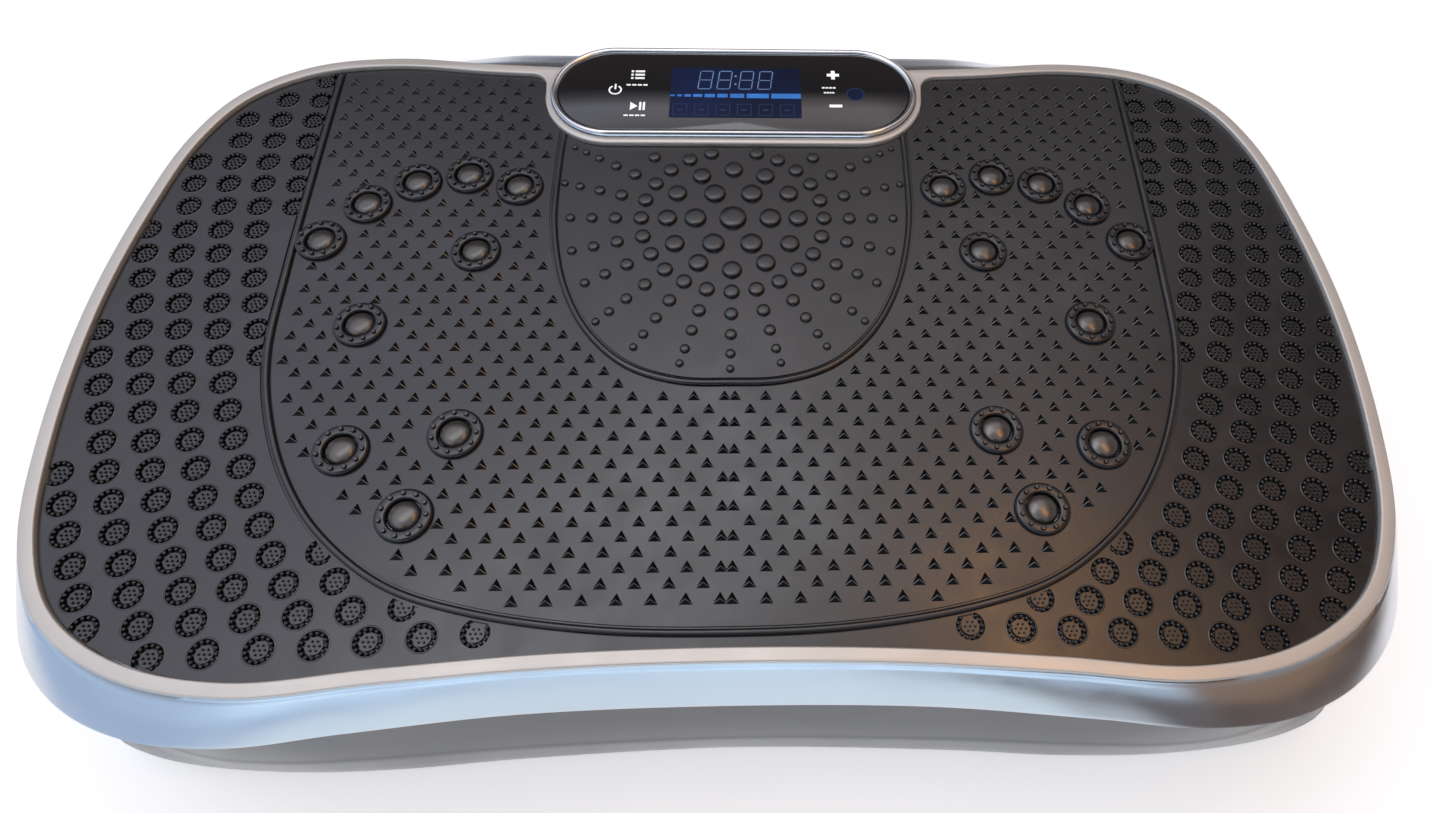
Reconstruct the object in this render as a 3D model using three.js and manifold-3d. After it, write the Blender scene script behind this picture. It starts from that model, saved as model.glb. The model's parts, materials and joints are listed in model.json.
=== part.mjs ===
// Vibration plate: a rocking deck with a rubber acupressure mat and a touch console, carried on two
// pivots in a lower shell, and driven by a motor, a belt, an eccentric crank and a connecting rod.
// Millimetres, +Z up, +Y towards the console, origin on the floor under the middle of the deck.
import * as THREE from 'three';
import { mergeVertices } from 'three/addons/utils/BufferGeometryUtils.js';
import Module from 'manifold-3d';

const wasm = await Module();
wasm.setup();

// ---- driving dimensions -------------------------------------------------------------------------
const GAP = 0.3; // clearance between pieces that touch
const WALL = 2.8; // moulded wall thickness

const MAT_TOP = 110;
const MAT_THICKNESS = 2.7;
const RIM_TOP = 112;
const RIM_WIDTH = 4.4;
const BAND_BOTTOM = 95.5; // lower edge of the deck's flared side band
const SHOULDER_Z = 106; // height of the far shoulder beside the console
const SHOULDER_INSET = 2.6; // how far the shoulder's edge lies inside the band's far edge
const PANEL = 3.8; // thickness of the casing's top panel

const SHELL_BOTTOM = 12;
const FLOOR_TOP = SHELL_BOTTOM + 3.3;

const PLATE_TOP = FLOOR_TOP + GAP + 2.5; // top of the steel base frame
const PIVOT_Z = 68;
const PIVOT_R = 8;
const PIVOT_Y = 92; // middle of each bearing block, front and rear
const RUNNING = 0.3; // radial clearance of a shaft in its bore

const CONSOLE_Y = 125.4;
const BEZEL_R = 30.6;
const BEZEL_HALF = 87;
const STADIUM_HALF = BEZEL_HALF - BEZEL_R; // half the straight run shared by all console outlines
const GLASS_R = 25.4;
const BEZEL_TOP = 114.9;
const GLASS_TOP = 113.9;
const HOUSING_BOTTOM = 99.3;
const HOUSING_TOP = 112;

const MAGNET_R = 5.9;
const MAGNET_TOP = 112.4;
const COLLAR_R = 10.25;
const COLLAR_TOP = 112.2;

const MOTOR = { x: -105, z: 56, r: 34, front: 40, rear: -60, shaftR: 4 };
const CRANK = { x: 80, z: 48, shaftR: 6, throw: 1.5, discR: 14, discY: 35 };
const BELT_Y = 52;
const BELT_WIDTH = 10;
const MOTOR_PULLEY_R = 10;
const CRANK_PULLEY_R = 24;
const ROD_PIN_Z = 90;
const ROD_PIN_R = 4;

const FOOT_X = 185;
const FOOT_Y = 95;
const TRAY = { x0: -136, x1: -52, z0: 48, z1: 82, back: 148, front: 156.5 }; // recess for inlet and switch
const INLET = { x: -112, z: 65, width: 28, height: 20, face: 152 };
const SWITCH = { x: -72, z: 65, width: 15, height: 21, face: 152 };

// Right half of the mat's edge, from the middle of the near side round to the middle of the far side
const MAT_EDGE = [
  [0, -134.2], [60, -135.5], [112, -139.2], [158, -142.9], [194, -136], [221, -119], [236, -93],
  [244.5, -53], [248, 2], [244, 54], [236, 94], [222, 120], [196, 137], [160, 142.9], [113, 139.4],
  [60, 137], [0, 136],
];
// Right half of the band's lower edge, in the same order; its far side is straight
const SKIRT_EDGE = [
  [0, -150], [70, -151.6], [125, -156.6], [163, -160.4], [195, -157], [220, -146], [238, -128],
  [250, -98], [259, -58], [264.8, -8], [264.5, 45], [257, 95], [244, 127], [221, 148], [190, 158],
  [160, 160.1], [110, 160.1], [50, 160.1], [0, 160.1],
];
// Right half of the lower shell's line at the floor, in the same order; its near corners are square
const SHELL_FOOT_EDGE = [
  [0, -150.5], [85, -153.2], [135, -156.3], [175, -156.6], [214, -153.3], [235, -148.7], [250, -142],
  [259, -130], [262.3, -105], [262.5, -58], [262.6, -8], [262, 45], [254, 95], [241, 127], [219, 147],
  [190, 157], [160, 160], [110, 160], [50, 160], [0, 160],
];
// Right half of the line that the lower shell narrows to under the band
const SHELL_EDGE = [
  [0, -150], [85, -151.8], [135, -154.4], [170, -155.9], [198, -152.6], [221, -141.5], [237, -123],
  [249, -95], [257, -58], [262, -8], [262, 45], [254, 95], [241, 127], [219, 147], [190, 157],
  [160, 160], [110, 160], [50, 160], [0, 160],
];
// Wall of the lower shell from the floor upwards, as [share of the floor line, offset, height]
const SHELL_WALL = [
  [1, -9, 12], [1, -2, 12.6], [1, 0, 16], [0.45, 0, 36], [0, -2, 52], [0, -7.5, 80], [0, -10, 96],
];
// Magnets of the right half: an arc beside the console, then the inner and the near groups
const MAGNETS = [
  [171, 38], [156, 58], [137, 70.5], [115.5, 75], [93, 68.5],
  [106.5, 32.5], [146, -4.5], [141, -60], [101, -53.5], [113.5, -86],
];

// ---- materials ----------------------------------------------------------------------------------
function finish(color, roughness, metalness = 0) {
  return new THREE.MeshStandardMaterial({ color, roughness, metalness });
}

const SILVER = finish(0x9ea3ab, 0.3, 0.5);
const CHAMPAGNE = finish(0xb9b2a8, 0.35, 0.6);
const CHROME = finish(0xc4c8cf, 0.15, 0.9);
const DARK_GREY = finish(0x4c5056, 0.35, 0.2);
const MAT_RUBBER = finish(0x1b1c1f, 0.6);
const BLACK_GLASS = finish(0x050608, 0.08);
const BLACK_PLASTIC = finish(0x17181a, 0.5);
const GUNMETAL = finish(0x8a8783, 0.25, 0.8);
const STEEL = finish(0x8d9196, 0.35, 0.9);
const CASTING = finish(0x6d7276, 0.5, 0.7);
const BOARD = finish(0x1f5a36, 0.5);
const FOOT_RUBBER = finish(0x1a1a1b, 0.7);

// ---- solids -------------------------------------------------------------------------------------
// A closed, welded manifold from any three.js geometry
function solid(geometry) {
  const bare = geometry.clone();
  bare.deleteAttribute('normal');
  bare.deleteAttribute('uv');
  const welded = mergeVertices(bare, 1e-4);
  const index = welded.index.array;
  const triangles = [];
  for (let i = 0; i < index.length; i += 3) {
    const [a, b, c] = [index[i], index[i + 1], index[i + 2]];
    if (a !== b && b !== c && c !== a) triangles.push(a, b, c);
  }
  const vertProperties = Float32Array.from(welded.attributes.position.array);
  const triVerts = Uint32Array.from(triangles);
  return new wasm.Manifold(new wasm.Mesh({ numProp: 3, vertProperties, triVerts }));
}

function geometryOf(manifold) {
  const mesh = manifold.getMesh();
  const geometry = new THREE.BufferGeometry();
  geometry.setAttribute('position', new THREE.Float32BufferAttribute(mesh.vertProperties, 3));
  geometry.setIndex(Array.from(mesh.triVerts));
  geometry.computeVertexNormals();
  return geometry;
}

function box(x0, x1, y0, y1, z0, z1) {
  const geometry = new THREE.BoxGeometry(x1 - x0, y1 - y0, z1 - z0);
  geometry.translate((x0 + x1) / 2, (y0 + y1) / 2, (z0 + z1) / 2);
  return solid(geometry);
}

// Cylinder along Y between y0 and y1
function rod(x, z, radius, y0, y1, sides = 24) {
  const geometry = new THREE.CylinderGeometry(radius, radius, y1 - y0, sides);
  geometry.translate(x, (y0 + y1) / 2, z);
  return solid(geometry);
}

// Upright cylinder between z0 and z1
function post(x, y, radius, z0, z1, sides = 16) {
  const geometry = new THREE.CylinderGeometry(radius, radius, z1 - z0, sides);
  geometry.rotateX(Math.PI / 2);
  geometry.translate(x, y, (z0 + z1) / 2);
  return solid(geometry);
}

// Upright turned piece from a profile of [radius, height] pairs
function turned(profile, x, y, sides = 20) {
  const points = profile.map(([r, z]) => new THREE.Vector2(r, z));
  const geometry = new THREE.LatheGeometry(points, sides);
  geometry.rotateX(Math.PI / 2);
  geometry.translate(x, y, 0);
  return solid(geometry);
}

// Turned piece about an axis along Y, from a profile of [radius, y] pairs
function turnedAlongY(profile, x, z, sides = 24) {
  const points = profile.map(([r, y]) => new THREE.Vector2(r, y));
  const geometry = new THREE.LatheGeometry(points, sides);
  geometry.translate(x, 0, z);
  return solid(geometry);
}

// Plate in the XZ plane from an outline of [x, z] pairs, between y0 and y1
function uprightPlate(outline, y0, y1) {
  const shape = new THREE.Shape(outline.map(([x, z]) => new THREE.Vector2(x, z)));
  const geometry = new THREE.ExtrudeGeometry(shape, { depth: y1 - y0, bevelEnabled: false });
  geometry.rotateX(Math.PI / 2);
  geometry.translate(0, y1, 0);
  return solid(geometry);
}

// ---- outlines and lofts -------------------------------------------------------------------------
const OUTLINE_COUNT = 72;

// Points at even spacing round a closed edge given by its right half, with their outward normals
function outlineOf(half) {
  const mirrored = half.slice(1, -1).reverse().map(([x, y]) => [-x, y]);
  const knots = [...half, ...mirrored].map(([x, y]) => new THREE.Vector3(x, y, 0));
  const curve = new THREE.CatmullRomCurve3(knots, true, 'centripetal');
  const points = curve.getSpacedPoints(OUTLINE_COUNT).slice(0, -1);
  return points.map((point, i) => {
    const next = points[(i + 1) % OUTLINE_COUNT];
    const last = points[(i + OUTLINE_COUNT - 1) % OUTLINE_COUNT];
    const tangent = next.clone().sub(last).normalize();
    return { x: point.x, y: point.y, nx: tangent.y, ny: -tangent.x };
  });
}

const MAT_OUTLINE = outlineOf(MAT_EDGE);
const SKIRT_OUTLINE = outlineOf(SKIRT_EDGE);
const SHELL_OUTLINE = outlineOf(SHELL_EDGE);
const SHELL_FOOT_OUTLINE = outlineOf(SHELL_FOOT_EDGE);
const FAR_Y = Math.max(...SKIRT_OUTLINE.map((p) => p.y));

// An outline moved outwards by offset, at height z
function ring(outline, offset, z) {
  return outline.map((p) => new THREE.Vector3(p.x + p.nx * offset, p.y + p.ny * offset, z));
}

// Part of the way from the mat's edge, moved out by lip, to the band's lower edge, moved in by inset
function bandRing(lip, inset, share, z) {
  const low = ring(SKIRT_OUTLINE, -inset, z);
  return ring(MAT_OUTLINE, lip, z).map((p, i) => p.lerp(low[i], share));
}

// The same, with the far side pushed out to the shoulder beside the console
function shoulderRing(lip, share, z) {
  return bandRing(lip, 0, share, z).map((p) => {
    const push = p.y > 100 ? 1 - THREE.MathUtils.smoothstep(Math.abs(p.x), 100, 155) : 0;
    p.y = Math.max(p.y, THREE.MathUtils.lerp(p.y, FAR_Y - SHOULDER_INSET, push));
    return p;
  });
}

// A stadium round the console's centre line, with end radius r
function stadiumRing(r, z, halfSteps = 12) {
  const points = [];
  for (const side of [1, -1]) {
    for (let i = 0; i <= halfSteps; i += 1) {
      const angle = (side > 0 ? -Math.PI / 2 : Math.PI / 2) + (Math.PI * i) / halfSteps;
      const x = side * STADIUM_HALF + r * Math.cos(angle);
      points.push(new THREE.Vector3(x, CONSOLE_Y + r * Math.sin(angle), z));
    }
  }
  return points;
}

// Skin between neighbouring rings. When looped, the last ring joins the first; otherwise the first
// is capped facing down and the last facing up, so that rings may also run down inside a tub.
function loft(rings, looped = false) {
  const count = rings[0].length;
  const vertices = rings.flat().flatMap((p) => [p.x, p.y, p.z]);
  const index = [];
  const spans = looped ? rings.length : rings.length - 1;
  for (let i = 0; i < spans; i += 1) {
    const low = i * count;
    const high = ((i + 1) % rings.length) * count;
    for (let j = 0; j < count; j += 1) {
      const k = (j + 1) % count;
      index.push(low + j, low + k, high + k, low + j, high + k, high + j);
    }
  }
  if (!looped) {
    for (const [points, start, facing] of [[rings[0], 0, -1], [rings.at(-1), (rings.length - 1) * count, 1]]) {
      const middle = vertices.length / 3;
      const y = points.reduce((sum, p) => sum + p.y, 0) / count;
      vertices.push(0, y, points[0].z);
      for (let j = 0; j < count; j += 1) {
        const [from, to] = facing > 0 ? [j, (j + 1) % count] : [(j + 1) % count, j];
        index.push(start + from, start + to, middle);
      }
    }
  }
  const geometry = new THREE.BufferGeometry();
  geometry.setAttribute('position', new THREE.Float32BufferAttribute(vertices, 3));
  geometry.setIndex(index);
  return solid(geometry);
}

// ---- assembly -----------------------------------------------------------------------------------
const plate = new THREE.Group();

function add(name, manifold, material) {
  const mesh = new THREE.Mesh(geometryOf(manifold), material);
  mesh.name = name;
  plate.add(mesh);
}

// ---- deck: casing, rim, mat, magnets ------------------------------------------------------------
const POCKET_FLOOR = MAT_TOP - MAT_THICKNESS - GAP; // top of the casing's panel
const LIP = RIM_WIDTH + 1; // the casing's top edge, outside the rim
const LIP_TOP = RIM_TOP - 0.8;

// How far down the band a height lies, from 0 at the lip to 1 at the lower edge
function bandShare(z) {
  return (LIP_TOP - z) / (LIP_TOP - BAND_BOTTOM);
}

// The notch in the mat that the console and its surround fill
function consoleNotch(grow, z0, z1) {
  const around = loft([stadiumRing(BEZEL_R + 1 + grow, z0), stadiumRing(BEZEL_R + 1 + grow, z1)]);
  const half = BEZEL_HALF + 1.4 + grow;
  return around.add(box(-half, half, CONSOLE_Y, 170, z0, z1));
}

function upperCasing() {
  const wall = WALL + 0.7; // measured level, across the sloping band
  const ceiling = POCKET_FLOOR - PANEL;
  const pocketEdge = RIM_WIDTH + GAP;
  const shell = loft([
    bandRing(LIP - wall, wall, bandShare(ceiling), ceiling),
    ring(SKIRT_OUTLINE, -wall, BAND_BOTTOM),
    ring(SKIRT_OUTLINE, 0, BAND_BOTTOM),
    shoulderRing(LIP, bandShare(SHOULDER_Z), SHOULDER_Z),
    ring(MAT_OUTLINE, LIP, LIP_TOP),
    ring(MAT_OUTLINE, pocketEdge, LIP_TOP),
    ring(MAT_OUTLINE, pocketEdge, POCKET_FLOOR),
  ]);
  const wellR = BEZEL_R + GAP;
  const well = loft([stadiumRing(wellR, HOUSING_BOTTOM - GAP), stadiumRing(wellR, RIM_TOP + 5)]);
  return shell.subtract(well);
}

// Raised ring round the mat, widened to a surround beside the console
function rimTrim() {
  const low = POCKET_FLOOR + GAP;
  const body = loft([
    ring(MAT_OUTLINE, RIM_WIDTH, low), ring(MAT_OUTLINE, RIM_WIDTH, RIM_TOP - 0.7),
    ring(MAT_OUTLINE, RIM_WIDTH - 0.8, RIM_TOP - 0.1), ring(MAT_OUTLINE, RIM_WIDTH - 2, RIM_TOP),
  ]);
  const window = loft([ring(MAT_OUTLINE, 0, low - 1), ring(MAT_OUTLINE, 0, RIM_TOP + 1)]);
  const opening = window.subtract(consoleNotch(0, low - 2, RIM_TOP + 2));
  const wellR = BEZEL_R + GAP;
  const well = loft([stadiumRing(wellR, low - 1), stadiumRing(wellR, RIM_TOP + 1)]);
  return largest(body.subtract(opening).subtract(well));
}

// The piece with the most volume, without the slivers that a cut leaves
function largest(manifold) {
  const pieces = manifold.decompose();
  return pieces.reduce((best, piece) => (piece.volume() > best.volume() ? piece : best));
}

function magnetPlaces() {
  return [-1, 1].flatMap((side) => MAGNETS.map(([x, y], i) => ({ side, number: i + 1, x: side * x, y })));
}

function mat() {
  const low = POCKET_FLOOR + GAP;
  const sheet = loft([ring(MAT_OUTLINE, -GAP, low), ring(MAT_OUTLINE, -GAP, MAT_TOP)]);
  let body = sheet.subtract(consoleNotch(GAP, low - 1, MAT_TOP + 1));
  for (const { x, y } of magnetPlaces()) {
    body = body.add(post(x, y, COLLAR_R, low, COLLAR_TOP, 12));
  }
  for (const { x, y } of magnetPlaces()) {
    body = body.subtract(post(x, y, MAGNET_R + GAP + 0.2, low - 1, COLLAR_TOP + 1, 12));
  }
  return largest(body);
}

// A domed disc standing in its hole in the mat
function magnet(x, y) {
  const low = POCKET_FLOOR + GAP;
  const profile = [
    [0, low], [MAGNET_R, low], [MAGNET_R, MAGNET_TOP - 2], [MAGNET_R * 0.8, MAGNET_TOP - 0.8],
    [MAGNET_R * 0.45, MAGNET_TOP - 0.2], [0, MAGNET_TOP],
  ];
  return turned(profile, x, y, 10);
}

// ---- deck: console ------------------------------------------------------------------------------
function consoleHousing() {
  const outside = loft([stadiumRing(BEZEL_R - 4, HOUSING_BOTTOM), stadiumRing(BEZEL_R - 4, HOUSING_TOP)]);
  const innerR = GLASS_R - 2;
  const inside = loft([stadiumRing(innerR, HOUSING_BOTTOM + 2.2), stadiumRing(innerR, HOUSING_TOP + 1)]);
  const cableHole = post(0, CONSOLE_Y, 5, HOUSING_BOTTOM - 1, HOUSING_BOTTOM + 4);
  return outside.subtract(inside).subtract(cableHole);
}

// Rounded ring round the glass, with a skirt that hides the housing's wall
function consoleBezel() {
  const profile = [
    [BEZEL_R, POCKET_FLOOR - 4], [BEZEL_R, MAT_TOP + 2], [BEZEL_R - 0.7, BEZEL_TOP - 1.6],
    [BEZEL_R - 1.9, BEZEL_TOP - 0.3], [BEZEL_R - 3, BEZEL_TOP], [GLASS_R + 0.9, BEZEL_TOP - 0.6],
    [GLASS_R + GAP, GLASS_TOP - 0.2], [GLASS_R + GAP, HOUSING_TOP + GAP],
    [BEZEL_R - 3.7, HOUSING_TOP + GAP], [BEZEL_R - 3.7, POCKET_FLOOR - 4],
  ];
  return loft(profile.map(([r, z]) => stadiumRing(r, z)), true);
}

function consoleGlass() {
  return loft([stadiumRing(GLASS_R, HOUSING_TOP + GAP), stadiumRing(GLASS_R, GLASS_TOP)]);
}

function displayBoard() {
  const z = HOUSING_BOTTOM + 2.2 + GAP;
  const board = box(-60, 60, CONSOLE_Y - 18, CONSOLE_Y + 18, z + 3, z + 4.6);
  const screen = box(-32, 32, CONSOLE_Y - 17, CONSOLE_Y + 16, z + 4, HOUSING_TOP - 1);
  let body = board.add(screen);
  for (const x of [-54, 54]) {
    for (const y of [-13, 13]) body = body.add(post(x, CONSOLE_Y + y, 2.5, z, z + 3.5, 10));
  }
  return body;
}

// ---- deck: frame and pivots ---------------------------------------------------------------------
const FRAME_TOP = POCKET_FLOOR - PANEL - GAP;
const FRAME_BOTTOM = FRAME_TOP - 3;
const LUG_Y = [25, 41]; // near face of each rod lug
const EAR_Y = [-80, 70]; // near face of each pivot ear

function lug(x, z, topHalf, tipR, boreR, y0, y1) {
  const outline = [
    [x - topHalf, FRAME_BOTTOM + 1], [x - tipR, z], [x - tipR * 0.7, z - tipR * 0.7], [x, z - tipR],
    [x + tipR * 0.7, z - tipR * 0.7], [x + tipR, z], [x + topHalf, FRAME_BOTTOM + 1],
  ];
  return uprightPlate(outline, y0, y1).subtract(rod(x, z, boreR, y0 - 1, y1 + 1));
}

function deckFrame() {
  let frame = box(-205, 205, -96, 96, FRAME_BOTTOM, FRAME_TOP);
  for (const side of [-1, 1]) {
    frame = frame.subtract(box(side * 150 - 35, side * 150 + 35, -70, 70, FRAME_BOTTOM - 1, FRAME_TOP + 1));
  }
  for (const y of EAR_Y) {
    frame = frame.add(lug(0, PIVOT_Z, 26, 15, PIVOT_R + GAP, y, y + 10));
  }
  for (const y of LUG_Y) {
    frame = frame.add(lug(CRANK.x, ROD_PIN_Z, 12, 8, ROD_PIN_R + GAP, y, y + 5));
  }
  return frame;
}

function pivotShaft(side) {
  const [y0, y1] = side < 0 ? [-PIVOT_Y - 11, -PIVOT_Y + 26] : [PIVOT_Y - 26, PIVOT_Y + 11];
  return rod(0, PIVOT_Z, PIVOT_R, y0, y1);
}

// ---- drive --------------------------------------------------------------------------------------
function bearingBlock(x, z, boreR, baseHalf, topHalf, y0, y1) {
  const outline = [
    [x - baseHalf, PLATE_TOP + GAP], [x + baseHalf, PLATE_TOP + GAP], [x + baseHalf, PLATE_TOP + 7],
    [x + topHalf, PLATE_TOP + 12], [x + topHalf, z + boreR + 2], [x + topHalf * 0.6, z + boreR + 8],
    [x - topHalf * 0.6, z + boreR + 8], [x - topHalf, z + boreR + 2], [x - topHalf, PLATE_TOP + 12],
    [x - baseHalf, PLATE_TOP + 7],
  ];
  return uprightPlate(outline, y0, y1).subtract(rod(x, z, boreR, y0 - 1, y1 + 1));
}

function motorBody() {
  const { x, z, r, front, rear, shaftR } = MOTOR;
  const profile = [
    [0, rear], [r - 3, rear], [r, rear + 3], [r, front - 14], [r - 2, front - 12], [r - 2, front - 4],
    [12, front - 4], [12, front], [shaftR + RUNNING, front], [shaftR + RUNNING, front - 30],
    [0, front - 30],
  ];
  return turnedAlongY(profile, x, z, 24);
}

function motorBracket() {
  const { x, z, r, front, rear } = MOTOR;
  const base = box(x - 38, x + 38, rear + 10, front - 16, PLATE_TOP + GAP, z - 12);
  return base.subtract(rod(x, z, r + GAP, rear, front, 32));
}

function motorShaft() {
  return rod(MOTOR.x, MOTOR.z, MOTOR.shaftR, MOTOR.front - 29, BELT_Y + 10);
}

// Flanged wheel with a plain bore
function pulley(x, z, radius, boreR) {
  const half = BELT_WIDTH / 2;
  const rim = radius + 2;
  const profile = [
    [boreR, BELT_Y - half - 2], [rim, BELT_Y - half - 2], [rim, BELT_Y - half - 0.8],
    [radius, BELT_Y - half - 0.5], [radius, BELT_Y + half + 0.5], [rim, BELT_Y + half + 0.8],
    [rim, BELT_Y + half + 2], [boreR, BELT_Y + half + 2], [boreR, BELT_Y - half - 2],
  ];
  return turnedAlongY(profile, x, z, 24);
}

// Outline of a belt run round both pulleys at a distance from their faces, as [x, z] pairs
function beltOutline(distance) {
  const [dx, dz] = [CRANK.x - MOTOR.x, CRANK.z - MOTOR.z];
  const [r1, r2] = [MOTOR_PULLEY_R + distance, CRANK_PULLEY_R + distance];
  const along = Math.atan2(dz, dx);
  const lean = Math.acos((r1 - r2) / Math.hypot(dx, dz));
  const outline = [];
  const arc = (x, z, r, from, to, steps) => {
    for (let i = 0; i <= steps; i += 1) {
      const angle = from + ((to - from) * i) / steps;
      outline.push([x + r * Math.cos(angle), z + r * Math.sin(angle)]);
    }
  };
  arc(CRANK.x, CRANK.z, r2, along - lean, along + lean, 18);
  arc(MOTOR.x, MOTOR.z, r1, along + lean, along - lean + 2 * Math.PI, 14);
  return outline;
}

function driveBelt() {
  const half = BELT_WIDTH / 2;
  const outer = uprightPlate(beltOutline(2), BELT_Y - half, BELT_Y + half);
  return outer.subtract(uprightPlate(beltOutline(GAP), BELT_Y - half - 1, BELT_Y + half + 1));
}

function crankShaft() {
  const shaft = rod(CRANK.x, CRANK.z, CRANK.shaftR, 10, 80);
  const disc = rod(CRANK.x + CRANK.throw, CRANK.z, CRANK.discR, CRANK.discY - 5, CRANK.discY + 5, 32);
  return shaft.add(disc);
}

// The big end clears the eccentric by twice its throw, because the linkage is open there
function connectingRod() {
  const innerR = CRANK.discR + 2 * CRANK.throw + 0.5;
  const outerR = innerR + 4.5;
  const [y0, y1] = [CRANK.discY - 4, CRANK.discY + 4];
  const stem = box(CRANK.x - 5, CRANK.x + 5, y0, y1, CRANK.z + innerR + 1, ROD_PIN_Z - 3);
  return rod(CRANK.x, CRANK.z, outerR, y0, y1, 32)
    .add(stem)
    .add(rod(CRANK.x, ROD_PIN_Z, 7, y0, y1))
    .subtract(rod(CRANK.x, CRANK.z, innerR, y0 - 1, y1 + 1, 32))
    .subtract(rod(CRANK.x, ROD_PIN_Z, ROD_PIN_R + RUNNING, y0 - 1, y1 + 1));
}

// ---- base ---------------------------------------------------------------------------------------
function footPlaces() {
  return [[-1, -1], [1, -1], [1, 1], [-1, 1]].map(([sx, sy]) => [sx * FOOT_X, sy * FOOT_Y]);
}

function drillFeet(body, z0, z1) {
  return footPlaces().reduce((rest, [x, y]) => rest.subtract(post(x, y, 2.8, z0, z1, 12)), body);
}

// Line of the lower shell's wall, between its upper line and its floor line
function shellRing(share, offset, z) {
  const foot = ring(SHELL_FOOT_OUTLINE, offset, z);
  return ring(SHELL_OUTLINE, offset, z).map((point, i) => point.lerp(foot[i], share));
}

function lowerShell() {
  const outer = SHELL_WALL.map(([share, offset, z]) => shellRing(share, offset, z));
  const walled = SHELL_WALL.slice(3).reverse();
  const inner = walled.map(([share, offset, z]) => shellRing(share, offset - WALL, z));
  const tub = loft([...outer, ...inner, shellRing(1, -4 - WALL, FLOOR_TOP)]);
  const { x0, x1, z0, z1, back } = TRAY;
  const shell = tub.subtract(box(x0, x1, back - 2, FAR_Y + 5, z0, z1));
  return drillFeet(shell, SHELL_BOTTOM - 1, FLOOR_TOP + 1);
}

// Open tray let into the shell's far wall, which carries the inlet and the switch
function inletTray() {
  const { x0, x1, z0, z1, back, front } = TRAY;
  let tray = box(x0 + GAP, x1 - GAP, back, front, z0 + GAP, z1 - GAP);
  tray = tray.subtract(box(x0 + 2, x1 - 2, back + 2.2, front + 1, z0 + 2, z1 - 2));
  for (const hole of [INLET, SWITCH]) {
    const halfX = hole.width / 2 + GAP;
    const halfZ = hole.height / 2 + GAP;
    tray = tray.subtract(box(hole.x - halfX, hole.x + halfX, back - 1, front, hole.z - halfZ, hole.z + halfZ));
  }
  return tray;
}

function baseFrame() {
  const frame = box(-205, 205, -112, 112, FLOOR_TOP + GAP, PLATE_TOP);
  return drillFeet(frame, FLOOR_TOP, PLATE_TOP + 1);
}

// Rubber suction foot with a blind hole for its screw
function foot(x, y) {
  const top = SHELL_BOTTOM - GAP;
  const profile = [
    [0, 3], [9, 2.4], [13, 0], [21, 0], [20.5, 3], [14, 6], [14, top], [2.7, top], [2.7, 5.5], [0, 5.5],
  ];
  return turned(profile, x, y, 16);
}

function footScrew(x, y) {
  const seat = PLATE_TOP + GAP;
  return turned([[0, 6], [2.2, 7], [2.2, seat], [5, seat], [4.6, seat + 2.2], [0, seat + 3]], x, y, 12);
}

function controlBoard() {
  const z = FLOOR_TOP + GAP;
  let board = box(-45, 60, 114, 138, z + 8, z + 9.6);
  board = board.add(box(-38, -12, 118, 134, z + 9, z + 27));
  board = board.add(box(20, 48, 118, 126, z + 9, z + 23));
  for (const x of [-41, 56]) {
    for (const y of [118, 134]) board = board.add(post(x, y, 2.5, z, z + 8.5, 10));
  }
  return board;
}

// Two-pin inlet in a flanged body
function powerInlet() {
  const { x, z, width, height, face } = INLET;
  const body = box(x - width / 2, x + width / 2, face - 24, face, z - height / 2, z + height / 2);
  const flange = box(x - width / 2 - 2, x + width / 2 + 2, face - 1.5, face, z - 12, z + 12);
  let inlet = body.add(flange).subtract(box(x - 11, x + 11, face - 17, face + 1, z - 7, z + 7));
  for (const side of [-1, 1]) {
    inlet = inlet.add(rod(x + side * 4.5, z, 1.3, face - 18, face - 6, 12));
  }
  return inlet;
}

function switchFrame() {
  const { x, z, width, height, face } = SWITCH;
  const body = box(x - width / 2, x + width / 2, face - 20, face, z - height / 2, z + height / 2);
  const flange = box(x - width / 2 - 2, x + width / 2 + 2, face - 1.5, face, z - height / 2 - 2, z + height / 2 + 2);
  return body.add(flange).subtract(box(x - 5.6, x + 5.6, face - 12, face + 1, z - 9.3, z + 9.3));
}

const ROCKER_TILT = THREE.MathUtils.degToRad(8);

// Rocker at rest in its off position, tilted about its pin
function rocker() {
  const { x, z, face } = SWITCH;
  const geometry = new THREE.BoxGeometry(10.4, 8, 16.6);
  geometry.rotateX(-ROCKER_TILT);
  geometry.translate(x, face - 3.5, z);
  return solid(geometry);
}

// ---- build --------------------------------------------------------------------------------------
add('lower_shell', lowerShell(), DARK_GREY);
add('base_frame', baseFrame(), STEEL);
footPlaces().forEach(([x, y], i) => {
  add(`suction_foot_${i + 1}`, foot(x, y), FOOT_RUBBER);
  add(`foot_screw_${i + 1}`, footScrew(x, y), STEEL);
});
for (const [name, side] of [['front', -1], ['rear', 1]]) {
  const middle = side * PIVOT_Y;
  const block = bearingBlock(0, PIVOT_Z, PIVOT_R + RUNNING, 34, 18, middle - 8, middle + 8);
  add(`pivot_block_${name}`, block, CASTING);
  add(`pivot_shaft_${name}`, pivotShaft(side), STEEL);
}
for (const [name, y] of [['front', 14], ['rear', 66]]) {
  const block = bearingBlock(CRANK.x, CRANK.z, CRANK.shaftR + RUNNING, 27, 13, y, y + 10);
  add(`crank_block_${name}`, block, CASTING);
}
add('motor_body', motorBody(), CASTING);
add('motor_bracket', motorBracket(), STEEL);
add('motor_shaft', motorShaft(), STEEL);
add('motor_pulley', pulley(MOTOR.x, MOTOR.z, MOTOR_PULLEY_R, MOTOR.shaftR + GAP), STEEL);
add('drive_belt', driveBelt(), FOOT_RUBBER);
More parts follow.
